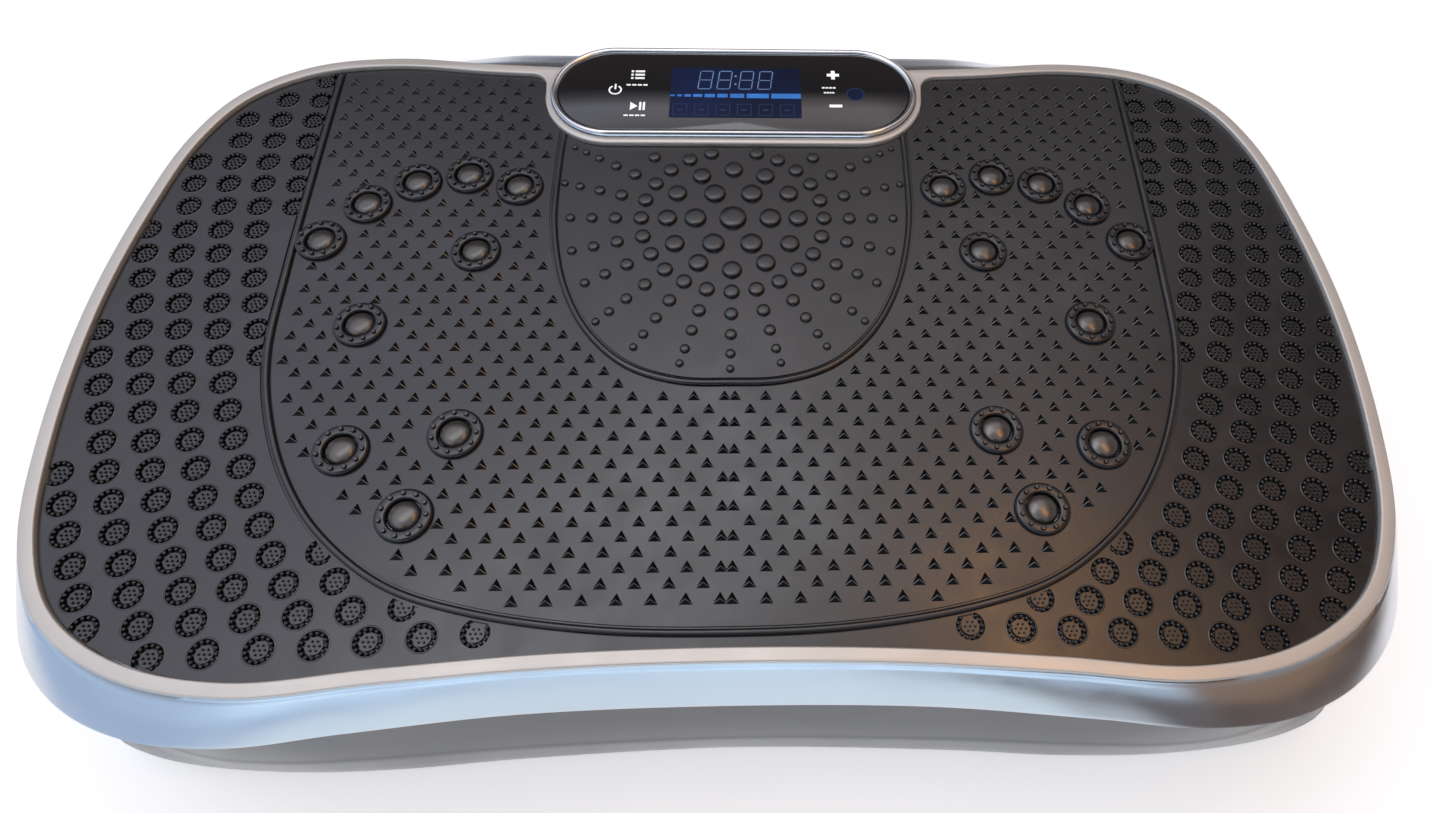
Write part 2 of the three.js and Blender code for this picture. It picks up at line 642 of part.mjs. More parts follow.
add('crank_pulley', pulley(CRANK.x, CRANK.z, CRANK_PULLEY_R, CRANK.shaftR + GAP), STEEL);
add('crank_shaft', crankShaft(), STEEL);
add('connecting_rod', connectingRod(), CASTING);
add('rod_pin', rod(CRANK.x, ROD_PIN_Z, ROD_PIN_R, 23, 48), STEEL);
add('control_board', controlBoard(), BOARD);
add('inlet_tray', inletTray(), BLACK_PLASTIC);
add('power_inlet', powerInlet(), BLACK_PLASTIC);
add('switch_frame', switchFrame(), BLACK_PLASTIC);
add('rocker_switch', rocker(), BLACK_PLASTIC);
add('deck_frame', deckFrame(), STEEL);
add('upper_casing', upperCasing(), SILVER);
add('rim_trim', rimTrim(), CHAMPAGNE);
add('mat', mat(), MAT_RUBBER);
for (const { side, number, x, y } of magnetPlaces()) {
  add(`magnet_${side < 0 ? 'left' : 'right'}_${number}`, magnet(x, y), GUNMETAL);
}
add('console_housing', consoleHousing(), BLACK_PLASTIC);
add('display_board', displayBoard(), BOARD);
add('console_glass', consoleGlass(), BLACK_GLASS);
add('console_bezel', consoleBezel(), CHROME);

export default plate;
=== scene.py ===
"""Vibration plate: the looks of a rubber-matted rocking deck with a touch console, on its lower shell.

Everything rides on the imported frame. Shapes are written in millimetres and turned into metres when a
mesh is made; +X is right, +Y is towards the console and +Z is up, with the floor at 0.
"""
import json
import math

import bpy
import numpy as np
from mathutils import Matrix, Vector
from mathutils.geometry import delaunay_2d_cdt


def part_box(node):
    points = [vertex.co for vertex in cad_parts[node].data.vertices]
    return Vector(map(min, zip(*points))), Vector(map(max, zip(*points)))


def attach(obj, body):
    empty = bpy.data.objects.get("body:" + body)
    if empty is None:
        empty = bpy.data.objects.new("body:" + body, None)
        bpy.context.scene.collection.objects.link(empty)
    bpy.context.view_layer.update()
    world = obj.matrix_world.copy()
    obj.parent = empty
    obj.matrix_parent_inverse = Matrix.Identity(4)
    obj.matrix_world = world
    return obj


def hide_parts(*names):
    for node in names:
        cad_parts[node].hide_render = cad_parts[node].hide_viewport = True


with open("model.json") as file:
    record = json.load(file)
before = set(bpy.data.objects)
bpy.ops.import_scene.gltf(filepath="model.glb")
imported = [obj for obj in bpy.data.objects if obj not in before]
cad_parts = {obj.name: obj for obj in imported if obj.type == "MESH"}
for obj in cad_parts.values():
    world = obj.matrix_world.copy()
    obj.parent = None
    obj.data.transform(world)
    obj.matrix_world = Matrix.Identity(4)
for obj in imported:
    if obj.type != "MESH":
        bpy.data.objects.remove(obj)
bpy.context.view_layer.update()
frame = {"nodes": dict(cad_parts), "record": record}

MM = 0.001
TAU = 2 * math.pi


# ---- places taken from the frame ----
def span(node):
    """Lowest and highest corner of a node, in millimetres."""
    low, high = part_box(node)
    return np.array(low) / MM, np.array(high) / MM


def middle(node):
    return sum(span(node)) / 2


def mount_height(name):
    found = next(m for m in frame["record"]["mounts"] if m["name"] == name)
    return found["pos_m"][2] / MM


MAT_TOP = mount_height("standing_face")
MAT_LOW = span("mat")[0][2]
COLLAR_TOP = span("mat")[1][2]
RIM_LOW, RIM_TOP = (corner[2] for corner in span("rim_trim"))
BAND_LOW, LIP_TOP = (corner[2] for corner in span("upper_casing"))
GLASS_LOW, GLASS_HIGH = span("console_glass")
BEZEL_LOW, BEZEL_HIGH = span("console_bezel")
SHELL_LOW, SHELL_HIGH = span("lower_shell")
CONSOLE_Y = (GLASS_LOW[1] + GLASS_HIGH[1]) / 2
GLASS_R = (GLASS_HIGH[1] - GLASS_LOW[1]) / 2
STADIUM_HALF = (GLASS_HIGH[0] - GLASS_LOW[0]) / 2 - GLASS_R
BEZEL_R = (BEZEL_HIGH[1] - BEZEL_LOW[1]) / 2
TRAY_LOW, TRAY_HIGH = span("inlet_tray")

# ---- driving dimensions, in millimetres ----
GAP = 0.3
WALL = 2.8
RIM_WIDTH = 5.2
LIP = 5.4  # the casing's top edge, measured out from the mat's edge
SHOULDER_Z = 106
SHOULDER_INSET = 2.6
DOME_CENTRE_Y = 50.9
NOTCH_HALF = 88.4
NOTCH_CORNER = 8
SURROUND_R = 31.6  # end radius of the silver surround that the console stands in

# Right half of each edge, from the middle of the near side round to the middle of the far side
MAT_EDGE = [
    (0, -134.2), (60, -135.5), (112, -139.2), (158, -142.9), (194, -136), (221, -119), (236, -93),
    (244.5, -53), (248, 2), (244, 54), (236, 94), (222, 120), (196, 137), (160, 142.9), (113, 139.4),
    (60, 137), (0, 136),
]
SKIRT_EDGE = [
    (0, -150), (70, -151.6), (125, -156.6), (163, -160.4), (195, -157), (220, -146), (238, -128),
    (250, -98), (259, -58), (264.8, -8), (264.5, 45), (257, 95), (244, 127), (221, 148), (190, 158),
    (160, 160.1), (110, 160.1), (50, 160.1), (0, 160.1),
]
# The lower shell's line above its crease, and its line at the floor, with square near corners
SHELL_EDGE = [
    (0, -150), (85, -151.8), (135, -154.4), (170, -155.9), (198, -152.6), (221, -141.5), (237, -123),
    (249, -95), (257, -58), (262, -8), (262, 45), (254, 95), (241, 127), (219, 147), (190, 157),
    (160, 160), (110, 160), (50, 160), (0, 160),
]
SHELL_FOOT_EDGE = [
    (0, -150.5), (85, -153.2), (135, -156.3), (175, -156.6), (214, -153.3), (235, -148.7), (250, -142),
    (259, -130), (262.3, -105), (262.5, -58), (262.6, -8),
] + SHELL_EDGE[10:]
# Raised ribs of the mat: round the dome field, and round the whole standing area
HUB_RIB = [
    (0, -31.5), (21, -30.5), (40.7, -23.3), (57, -7.5), (68.7, 15.5), (76, 48), (77.5, 81), (77.5, 104),
]
STAND_RIB = [
    (0, -129), (44, -127.4), (86.7, -120.8), (116.3, -111), (142.6, -91.3), (159, -70), (171.5, -43.6),
    (178.7, -17), (181.4, 22), (183.4, 80), (185, 146),
]


# ---- outlines ----
def smooth_curve(knots, count, closed):
    """Centripetal Catmull-Rom curve through the knots, cut at even spacing."""
    knots = np.array(knots, float)
    spans = len(knots) if closed else len(knots) - 1
    if closed:
        padded = np.vstack([knots[-1:], knots, knots[:2]])
    else:
        padded = np.vstack([2 * knots[:1] - knots[1:2], knots, 2 * knots[-1:] - knots[-2:-1]])
    fine = []
    share = np.linspace(0, 1, 24, endpoint=False)[:, None]
    for i in range(spans):
        a, b, c, d = padded[i : i + 4]
        before, here, after = (math.dist(p, q) ** 0.5 for p, q in ((a, b), (b, c), (c, d)))
        leave = ((b - a) / before - (c - a) / (before + here) + (c - b) / here) * here
        arrive = ((c - b) / here - (d - b) / (here + after) + (d - c) / after) * here
        square = 3 * (c - b) - 2 * leave - arrive
        cube = 2 * (b - c) + leave + arrive
        fine.append(b + leave * share + square * share**2 + cube * share**3)
    fine = np.vstack(fine + [knots[:1] if closed else knots[-1:]])
    along = np.concatenate([[0], np.cumsum(np.linalg.norm(np.diff(fine, axis=0), axis=1))])
    stops = np.linspace(0, along[-1], count + 1)[: count if closed else count + 1]
    return np.stack([np.interp(stops, along, fine[:, k]) for k in (0, 1)], 1)


def mirrored(half):
    """The whole edge from its right half."""
    return list(half) + [(-x, y) for x, y in reversed(half[1:-1])]


def outward(loop):
    """Unit normals that point out of an anticlockwise loop."""
    tangent = np.roll(loop, -1, 0) - np.roll(loop, 1, 0)
    tangent /= np.linalg.norm(tangent, axis=1)[:, None]
    return np.stack([tangent[:, 1], -tangent[:, 0]], 1)


def grown(loop, distance):
    return loop + outward(loop) * distance


def arc(x, y, radius, start, end, steps):
    """Points on a circular arc between two angles in degrees."""
    turn = np.radians(np.linspace(start, end, steps + 1))
    return np.stack([x + radius * np.cos(turn), y + radius * np.sin(turn)], 1)


def circle(x, y, radius, sides):
    return arc(x, y, radius, 0, 360, sides)[:-1]


def stadium(radius, steps=24, half=STADIUM_HALF, x=0.0, y=CONSOLE_Y):
    right = arc(x + half, y, radius, -90, 90, steps)
    left = arc(x - half, y, radius, 90, 270, steps)
    return np.vstack([right, left])


EDGE_COUNT = 320
MAT_LOOP = smooth_curve(mirrored(MAT_EDGE), EDGE_COUNT, True)
SKIRT_LOOP = smooth_curve(mirrored(SKIRT_EDGE), EDGE_COUNT, True)
SHELL_LOOP = smooth_curve(mirrored(SHELL_EDGE), EDGE_COUNT, True)
SHELL_FOOT_LOOP = smooth_curve(mirrored(SHELL_FOOT_EDGE), EDGE_COUNT, True)
FAR_Y = SKIRT_LOOP[:, 1].max()


def whole_rib(half):
    """A rib's centre line from its far left end round to its far right end."""
    return smooth_curve([(-x, y) for x, y in reversed(half[1:])] + list(half), 200, False)


HUB_LINE = whole_rib(HUB_RIB)
STAND_LINE = whole_rib(STAND_RIB)


def mat_loop(grow=0.0):
    """The mat's edge with the console's notch cut from its far side."""
    loop = grown(MAT_LOOP, grow)
    half_width, corner = NOTCH_HALF - grow, NOTCH_CORNER
    start = half_width + corner
    right = [p for p in loop[: EDGE_COUNT // 2] if not (p[1] > 0 and p[0] < start)]
    edge_y = right[-1][1]
    rounding = arc(start, edge_y - corner, corner, 90, 180, 8)
    under = arc(STADIUM_HALF, CONSOLE_Y, SURROUND_R - grow, 0, -90, 20)
    under = [p for p in under if p[0] < half_width - 0.01]
    half = np.vstack([right, rounding, under])
    return np.vstack([half, (half[1:] * [-1, 1])[::-1]])


def inside(points, loop):
    """Which points lie within a closed loop."""
    x, y = points[:, 0, None], points[:, 1, None]
    x0, y0 = loop[:, 0], loop[:, 1]
    x1, y1 = np.roll(x0, -1), np.roll(y0, -1)
    rise = np.where(y1 == y0, 1e-9, y1 - y0)
    crosses = ((y0 > y) != (y1 > y)) & (x < (x1 - x0) * (y - y0) / rise + x0)
    return crosses.sum(1) % 2 == 1


def gap_to(points, line, closed=False):
    """Distance from each point to a line of points."""
    start = line if closed else line[:-1]
    end = np.roll(line, -1, 0) if closed else line[1:]
    along = end - start
    out = []
    for part in np.array_split(points, max(1, len(points) // 2000)):
        offset = part[:, None] - start
        share = np.clip((offset * along).sum(2) / np.maximum((along**2).sum(1), 1e-12), 0, 1)
        out.append(np.linalg.norm(offset - along * share[:, :, None], axis=2).min(1))
    return np.concatenate(out)


def well_inside(points, loop, room):
    """Which points lie within a closed loop and further than room from it."""
    return inside(points, loop) & (gap_to(points, loop, True) > room)


def leftward(line):
    """Unit normals to the left of an open line."""
    along = np.gradient(line, axis=0)
    return np.stack([-along[:, 1], along[:, 0]], 1) / np.linalg.norm(along, axis=1)[:, None]


# ---- mesh making ----
def in_scene(name, data):
    """A new object in the scene."""
    thing = bpy.data.objects.new(name, data)
    bpy.context.scene.collection.objects.link(thing)
    return thing


def smoothed(mesh, sharp):
    """Smooth shading that stops at edges sharper than an angle in degrees."""
    mesh.polygons.foreach_set("use_smooth", [True] * len(mesh.polygons))
    mesh.set_sharp_from_angle(angle=math.radians(sharp))


class Shape:
    """Rings and faces gathered into one mesh, in millimetres."""

    def __init__(self):
        self.points = []
        self.faces = []

    def ring(self, loop, z):
        start = len(self.points)
        heights = np.broadcast_to(z, (len(loop),))
        self.points += [(x, y, height) for (x, y), height in zip(loop, heights)]
        return range(start, len(self.points))

    def skin(self, low, high, closed=True):
        count = len(low)
        for i in range(count if closed else count - 1):
            j = (i + 1) % count
            self.faces.append((low[i], low[j], high[j], high[i]))

    def cap(self, ring, up):
        """Fan from the ring's middle."""
        middle = len(self.points)
        self.points.append(tuple(np.mean([self.points[i] for i in ring], 0)))
        for i, here in enumerate(ring):
            there = ring[(i + 1) % len(ring)]
            self.faces.append((here, there, middle) if up else (there, here, middle))

    def loft(self, rings, looped=False, low_cap=True, high_cap=True):
        """Skin through (loop, height) rings; looped joins the last ring to the first."""
        made = [self.ring(loop, z) for loop, z in rings]
        for low, high in zip(made, made[1:]):
            self.skin(low, high)
        if looped:
            self.skin(made[-1], made[0])
            return
        if low_cap:
            self.cap(made[0], up=False)
        if high_cap:
            self.cap(made[-1], up=True)

    def turn(self, profile, x=0.0, y=0.0, sides=32):
        """Upright turned form from (radius, height) pairs; a radius of 0 closes on the axis."""
        rings = [(circle(x, y, max(r, 0.001), sides), z) for r, z in profile]
        self.loft(rings, low_cap=profile[0][0] > 0, high_cap=profile[-1][0] > 0)

    def turned_ring(self, profile, x, y, sides):
        self.loft([(circle(x, y, r, sides), z) for r, z in profile], looped=True)

    def block(self, x0, x1, y0, y1, z0, z1):
        loop = [(x0, y0), (x1, y0), (x1, y1), (x0, y1)]
        self.loft([(loop, z0), (loop, z1)])

    def piece(self, name, sharp=32.0):
        """An object in the scene with this shape."""
        mesh = bpy.data.meshes.new(name)
        mesh.from_pydata((np.array(self.points) * MM).tolist(), [], self.faces)
        smoothed(mesh, sharp)
        mesh.validate()
        return in_scene(name, mesh)


def keep(thing, body, slot, finish, *nodes):
    """Dresses a piece, sets it on its body and hides the nodes that it stands for."""
    thing.data.materials.clear()
    thing.data.materials.append(finish)
    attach(thing, body)
    if nodes:
        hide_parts(*nodes)


def evaluated(thing):
    """A new mesh with an object's modifiers or curve worked out."""
    return bpy.data.meshes.new_from_object(thing.evaluated_get(bpy.context.evaluated_depsgraph_get()))


def settle(thing, sharp):
    """Applies a piece's modifiers to its mesh."""
    mesh = evaluated(thing)
    thing.modifiers.clear()
    thing.data = mesh
    smoothed(mesh, sharp)
    return thing


def cut(thing, cutter_shape, sharp):
    """Takes a closed shape out of a closed piece."""
    cutter = cutter_shape.piece(thing.name + "_cutter")
    modifier = thing.modifiers.new("cut", "BOOLEAN")
    modifier.operation = "DIFFERENCE"
    modifier.solver = "EXACT"
    modifier.object = cutter
    settle(thing, sharp)
    bpy.data.objects.remove(cutter)
    return thing


def weld(thing, distance):
    thing.modifiers.new("weld", "WELD").merge_threshold = distance * MM


def softened(node, width):
    """A copy of a node's shape with rounded edges."""
    thing = in_scene(node + "_shape", frame["nodes"][node].data.copy())
    weld(thing, 0.01)
    flat = thing.modifiers.new("flat", "DECIMATE")
    flat.decimate_type = "DISSOLVE"
    flat.angle_limit = math.radians(1.0)
    bevel = thing.modifiers.new("bevel", "BEVEL")
    bevel.width = width * MM
    bevel.segments = 3
    bevel.limit_method = "ANGLE"
    bevel.angle_limit = math.radians(40)
    return settle(thing, 50)


# ---- shader nodes ----
class Link:
    """A node's output that can be used in sums; each sum adds its Math nodes."""

    def __init__(self, finish, socket):
        self.finish = finish
        self.socket = socket

    def math(self, operation, *others):
        return self.finish.node("ShaderNodeMath", {"operation": operation}, dict(enumerate((self, *others))))

    def __add__(self, other):
        return self.math("ADD", other)

    __radd__ = __add__

    def __mul__(self, other):
        return self.math("MULTIPLY", other)

    __rmul__ = __mul__

    def __sub__(self, other):
        return self.math("SUBTRACT", other)

    def __rsub__(self, other):
        return self.finish.node("ShaderNodeMath", {"operation": "SUBTRACT"}, {0: other, 1: self})

    def above(self, limit):
        return self.math("GREATER_THAN", limit)


class Graph:
    """A node tree that is filled through one method."""

    def __init__(self, tree):
        self.tree = tree

    def node(self, kind, settings=None, inputs=None, output=0):
        """Adds a node, sets it up, fills its sockets with values or links, and gives back an output."""
        made = self.tree.nodes.new(kind)
        for label, value in (settings or {}).items():
            setattr(made, label, value)
        for label, value in (inputs or {}).items():
            if isinstance(value, Link):
                self.tree.links.new(value.socket, made.inputs[label])
            else:
                made.inputs[label].default_value = value
        return Link(self, made.outputs[output])

    def span(self, share, low, high, start=0.3, end=0.7):
        """Number between low and high as a share runs from start to end."""
        inputs = {"Value": share, "From Min": start, "From Max": end, "To Min": low, "To Max": high}
        return self.node("ShaderNodeMapRange", None, inputs)

    def share(self, value, start=0.3, end=0.7):
        """Number from 0 to 1 as a value runs from start to end."""
        return self.span(value, 0.0, 1.0, start, end)

    def axes(self, point):
        """The three parts of a vector."""
        return [self.node("ShaderNodeSeparateXYZ", None, {0: point}, k) for k in range(3)]

    def mix(self, share, low, high):
        """Colour between two colours or links by a share from 0 to 1."""
        ends = [end if isinstance(end, Link) else (*end, 1.0) for end in (low, high)]
        return self.node("ShaderNodeMix", {"data_type": "RGBA"}, {0: share, 6: ends[0], 7: ends[1]}, 2)


class Finish(Graph):
    """A procedural material with one Principled shader."""

    def __init__(self, name, **constants):
        self.material = bpy.data.materials.new(name)
        self.material.use_nodes = True
        super().__init__(self.material.node_tree)
        self.shader = self.tree.nodes["Principled BSDF"]
        for label, value in constants.items():
            self.shader.inputs[label.replace("_", " ")].default_value = value

    def feed(self, label, link):
        self.tree.links.new(link.socket, self.shader.inputs[label])

    def place(self, stretch=(1, 1, 1)):
        """Position on the piece, in metres."""
        point = self.node("ShaderNodeTexCoord", output=3)
        return self.node("ShaderNodeMapping", None, {"Vector": point, "Scale": stretch})

    def noise(self, scale, detail=3.0, stretch=(1, 1, 1)):
        inputs = {"Vector": self.place(stretch), "Scale": scale, "Detail": detail}
        return self.node("ShaderNodeTexNoise", None, inputs)

    def spots(self, scale, size):
        """Mask of scattered round specks, 1 inside a speck."""
        inputs = {"Vector": self.place(), "Scale": scale}
        return 1.0 - self.node("ShaderNodeTexVoronoi", None, inputs).above(size)

    def bump(self, height, strength, distance):
        inputs = {"Height": height, "Strength": strength, "Distance": distance * MM}
        self.feed("Normal", self.node("ShaderNodeBump", None, inputs))


def rubber(name, low, high, rough, grain=1.0, sheen=0.5):
    """Moulded rubber: fine grain, faint cloudy sheen and a little dust."""
    finish = Finish(name, Specular_IOR_Level=sheen)
    cloud = finish.noise(9, 3)
    dust = finish.spots(700, 0.045) * finish.span(finish.noise(24, 2), 0.0, 0.7, 0.5, 0.75)
    tone = finish.mix(finish.share(cloud), low, high)
    finish.feed("Base Color", finish.mix(dust, tone, (0.16, 0.16, 0.17)))
    finish.feed("Roughness", finish.span(finish.noise(60, 4), rough - 0.05, rough + 0.07))
    finish.bump(finish.noise(2600, 2), 0.22 * grain, 0.05)
    return finish.material


def metal_paint(name, low, high, rough, metal, coat=0.0, flake=0.05):
    """Metallic paint or plated plastic: fine flake, slow tone drift and light handling marks."""
    finish = Finish(name, Metallic=metal, Coat_Weight=coat, Coat_Roughness=0.06)
    finish.feed("Base Color", finish.mix(finish.share(finish.noise(7, 2)), low, high))
    finish.feed("Roughness", finish.span(finish.noise(45, 5, (1, 1, 2)), rough - 0.03, rough + 0.05))
    finish.bump(finish.noise(3200, 1), flake, 0.02)
    return finish.material


def gloss_plastic(name, low, high, rough, metal=0.0):
    """Glossy moulding with dust specks that show against it."""
    finish = Finish(name, Metallic=metal, Coat_Weight=0.15, Coat_Roughness=0.04)
    specks = finish.spots(420, 0.05) * finish.span(finish.noise(30, 2), 0.0, 0.9, 0.52, 0.7)
    tone = finish.mix(finish.share(finish.noise(6, 2)), low, high)
    finish.feed("Base Color", finish.mix(specks, tone, (0.62, 0.62, 0.64)))
    finish.feed("Roughness", finish.span(finish.noise(38, 4), rough - 0.03, rough + 0.06) + specks * 0.4)
    finish.bump(finish.noise(900, 2), 0.03, 0.02)
    return finish.material


def textured_plastic(name, low, high, rough, grain=420):
    """Spark-eroded matt moulding."""
    finish = Finish(name)
    finish.feed("Base Color", finish.mix(finish.noise(20, 3), low, high))
    finish.feed("Roughness", finish.span(finish.noise(80, 3), rough - 0.06, rough + 0.06))
    finish.bump(finish.noise(grain * 3, 3), 0.3, 0.06)
    return finish.material


def glass_panel():
    """Black touch glass with the faintest smears."""
    finish = Finish("touch_glass", Coat_Weight=1.0, Coat_Roughness=0.02)
    finish.feed("Base Color", finish.mix(finish.noise(12, 2), (0.004, 0.004, 0.005), (0.009, 0.009, 0.011)))
    finish.feed("Roughness", finish.span(finish.noise(22, 5, (1, 2, 1)), 0.03, 0.10))
    return finish.material


def lit(name, low, high, strength, rough=0.2, scale=60):
    """A lit or printed mark whose glow varies slightly."""
    finish = Finish(name, Roughness=rough, Emission_Strength=strength)
    tone = finish.mix(finish.share(finish.noise(scale, 2)), low, high)
    finish.feed("Base Color", tone)
    finish.feed("Emission Color", tone)
    return finish.material


def circuit_board():
    """Green mask with a lighter criss-cross of tracks."""
    finish = Finish("solder_mask", Coat_Weight=0.3)
    tracks = finish.node("ShaderNodeTexBrick", None, {
        "Vector": finish.place(), "Scale": 60.0, "Mortar Size": 0.012,
        "Color1": (0.02, 0.13, 0.05, 1), "Color2": (0.03, 0.16, 0.07, 1), "Mortar": (0.10, 0.34, 0.16, 1),
    })
    finish.feed("Base Color", tracks)
    finish.feed("Roughness", finish.span(finish.noise(90, 2), 0.3, 0.45))
    return finish.material


MAT_RUBBER = rubber("mat_rubber", (0.006, 0.006, 0.008), (0.010, 0.010, 0.013), 0.27, 0.7, 0.9)
# Lighter rubber for the pyramids' near ridges: a painted highlight for the light that those ridges catch.
RIDGE_HIGHLIGHT_RUBBER = rubber("ridge_highlight_rubber", (0.10, 0.10, 0.11), (0.14, 0.14, 0.15), 0.22, 0.2, 1.0)
# Darker, less glossy rubber for the pyramids: painted shade, so that their steep faces read dark.
PYRAMID_SHADE_RUBBER = rubber("pyramid_shade_rubber", (0.003, 0.003, 0.004), (0.005, 0.005, 0.006), 0.24, 0.3, 0.32)
FOOT_RUBBER = rubber("foot_rubber", (0.020, 0.020, 0.020), (0.035, 0.034, 0.033), 0.62, 1.6)
BAND_SILVER = metal_paint("band_silver", (0.58, 0.62, 0.67), (0.63, 0.67, 0.72), 0.20, 0.92, 0.15)
RIM_CHAMPAGNE = metal_paint("rim_champagne", (0.70, 0.67, 0.62), (0.76, 0.73, 0.68), 0.42, 0.5)
BEZEL_CHROME = metal_paint("bezel_chrome", (0.72, 0.73, 0.76), (0.80, 0.81, 0.83), 0.17, 1.0, 0.0, 0.02)
SHELL_GREY = gloss_plastic("shell_grey", (0.050, 0.061, 0.074), (0.066, 0.078, 0.093), 0.18, 0.15)
MOULDED_BLACK = textured_plastic("moulded_black", (0.018, 0.018, 0.019), (0.032, 0.032, 0.033), 0.48)
UNDERSIDE_BLACK = textured_plastic("underside_black", (0.030, 0.031, 0.033), (0.045, 0.046, 0.048), 0.55, 300)
MAGNET_PEARL = metal_paint("magnet_pearl", (0.10, 0.095, 0.09), (0.17, 0.16, 0.15), 0.26, 0.7, 0.3, 0.04)
ZINC = metal_paint("zinc_plate", (0.55, 0.56, 0.57), (0.66, 0.66, 0.64), 0.30, 1.0)
POWDER_COAT = textured_plastic("powder_coat", (0.02, 0.02, 0.022), (0.04, 0.04, 0.043), 0.42, 260)
CAST_ALLOY = metal_paint("cast_alloy", (0.36, 0.37, 0.38), (0.50, 0.51, 0.52), 0.46, 0.9, 0.0, 0.5)
SOLDER_MASK = circuit_board()
TOUCH_GLASS = glass_panel()
# White print that also glows a little: painted light, as printed marks give none.
GLOWING_PRINT_WHITE = lit("print_white_glow", (0.80, 0.82, 0.84), (0.92, 0.93, 0.95), 0.55, 0.35)
WINDOW_BLUE = lit("window_blue", (0.003, 0.006, 0.020), (0.005, 0.010, 0.038), 0.8, 0.08, 25)
DIGIT_BLUE = lit("digit_blue", (0.09, 0.16, 0.30), (0.14, 0.24, 0.42), 0.7, 0.2)
BAR_BLUE = lit("bar_blue", (0.02, 0.10, 0.32), (0.03, 0.15, 0.46), 0.9, 0.2)
FAINT_BLUE = lit("faint_blue", (0.008, 0.022, 0.065), (0.012, 0.03, 0.09), 0.7, 0.2)


# ---- deck casing and rim ----
def band_loop(share, inset=0.0):
    """The side band between the lip, at share 0, and its lower edge, at share 1."""
    loop = grown(MAT_LOOP, LIP - inset) * (1 - share) + grown(SKIRT_LOOP, -inset) * share
    if inset:
        return loop
    shoulder = (LIP_TOP - SHOULDER_Z) / (LIP_TOP - BAND_LOW)
    lip_y = grown(MAT_LOOP, LIP)[:, 1]
    edge_y = FAR_Y - SHOULDER_INSET
    if share < shoulder:
        wanted = lip_y + (edge_y - lip_y) * share / shoulder
    else:
        wanted = edge_y + SHOULDER_INSET * (share - shoulder) / (1 - shoulder)
    nearness = np.clip((155 - np.abs(loop[:, 0])) / 55, 0, 1)
    push = np.where(loop[:, 1] > 100, nearness**2 * (3 - 2 * nearness), 0)
    loop[:, 1] = np.maximum(loop[:, 1], loop[:, 1] + (wanted - loop[:, 1]) * push)
    return loop


def deck_casing():
    shape = Shape()
    height = LIP_TOP - BAND_LOW
    wall = WALL + 0.7
    floor = MAT_LOW - GAP
    ceiling = floor - 3.8
    pocket = grown(MAT_LOOP, RIM_WIDTH + 0.04)
    rings = [
        (band_loop((LIP_TOP - ceiling) / height, wall), ceiling),
        (band_loop(1.0, wall), BAND_LOW + 0.3),
        (band_loop(1.0, wall - 0.3), BAND_LOW),
        (grown(SKIRT_LOOP, -0.5), BAND_LOW),
        (grown(SKIRT_LOOP, -0.12), BAND_LOW + 0.12),
    ]
    for share in (0.97, 0.9, 0.75, 0.6, 0.5, 0.42, 0.36, 0.335, 0.31, 0.25, 0.15, 0.06):
        swell = 0.5 * math.sin(math.pi * share)  # the band is very slightly crowned
        rings.append((grown(band_loop(share), swell), LIP_TOP - height * share))
    rings += [
        (grown(MAT_LOOP, LIP), LIP_TOP - 0.35),
        (grown(MAT_LOOP, LIP - 0.08), LIP_TOP - 0.08),
        (pocket, LIP_TOP),
        (pocket, floor),
    ]
    shape.loft(rings)
    keep(shape.piece("deck_casing", 40), "deck", "band_silver", BAND_SILVER, "upper_casing")


def rounded_plate(name, loops, low, high, bevel):
    """Plate with holes and rounded edges, from closed loops; the first is the outside."""
    curve = bpy.data.curves.new(name, "CURVE")
    curve.dimensions = "2D"
    curve.fill_mode = "BOTH"
    for loop in loops:
        spline = curve.splines.new("POLY")
        spline.points.add(len(loop) - 1)
        spline.points.foreach_set("co", [v for x, y in loop for v in (x * MM, y * MM, 0.0, 1.0)])
        spline.use_cyclic_u = True
    curve.bevel_depth = bevel * MM
    curve.bevel_resolution = 4
    curve.offset = -bevel * MM
    curve.extrude = ((high - low) / 2 - bevel) * MM
    source = in_scene(name + "_outline", curve)
    mesh = evaluated(source)
    bpy.data.objects.remove(source)
    mesh.transform(Matrix.Translation((0, 0, (low + high) / 2 * MM)))
    thing = in_scene(name, mesh)
    weld(thing, 0.005)
    return settle(thing, 40)


def deck_rim():
    thing = rounded_plate("deck_rim", [grown(MAT_LOOP, RIM_WIDTH), mat_loop()], RIM_LOW, RIM_TOP, 0.7)
    keep(thing, "deck", "rim_champagne", RIM_CHAMPAGNE, "rim_trim")


# ---- mat ----
COLLAR_R = 10.25
HOLE_R = 6.2
ROSETTE_R = 5.0
ROSETTE_HEART = 3.0  # radius of the shallow middle of each rosette
ROSETTE_DEPTH = 1.5
HEART_DEPTH = 0.45
RING_OF_BEADS = 4.1
BEAD_R = 0.72
RING_OF_PIPS = 1.75
PIP_R = 0.42
GROOVE = (1.3, 2.1)  # inner and outer distance of the grooves beside a rib
GROOVE_DEPTH = 0.6
MAGNET_PLACES = {name: middle(name)[:2] for name in frame["nodes"] if name.startswith("magnet_")}


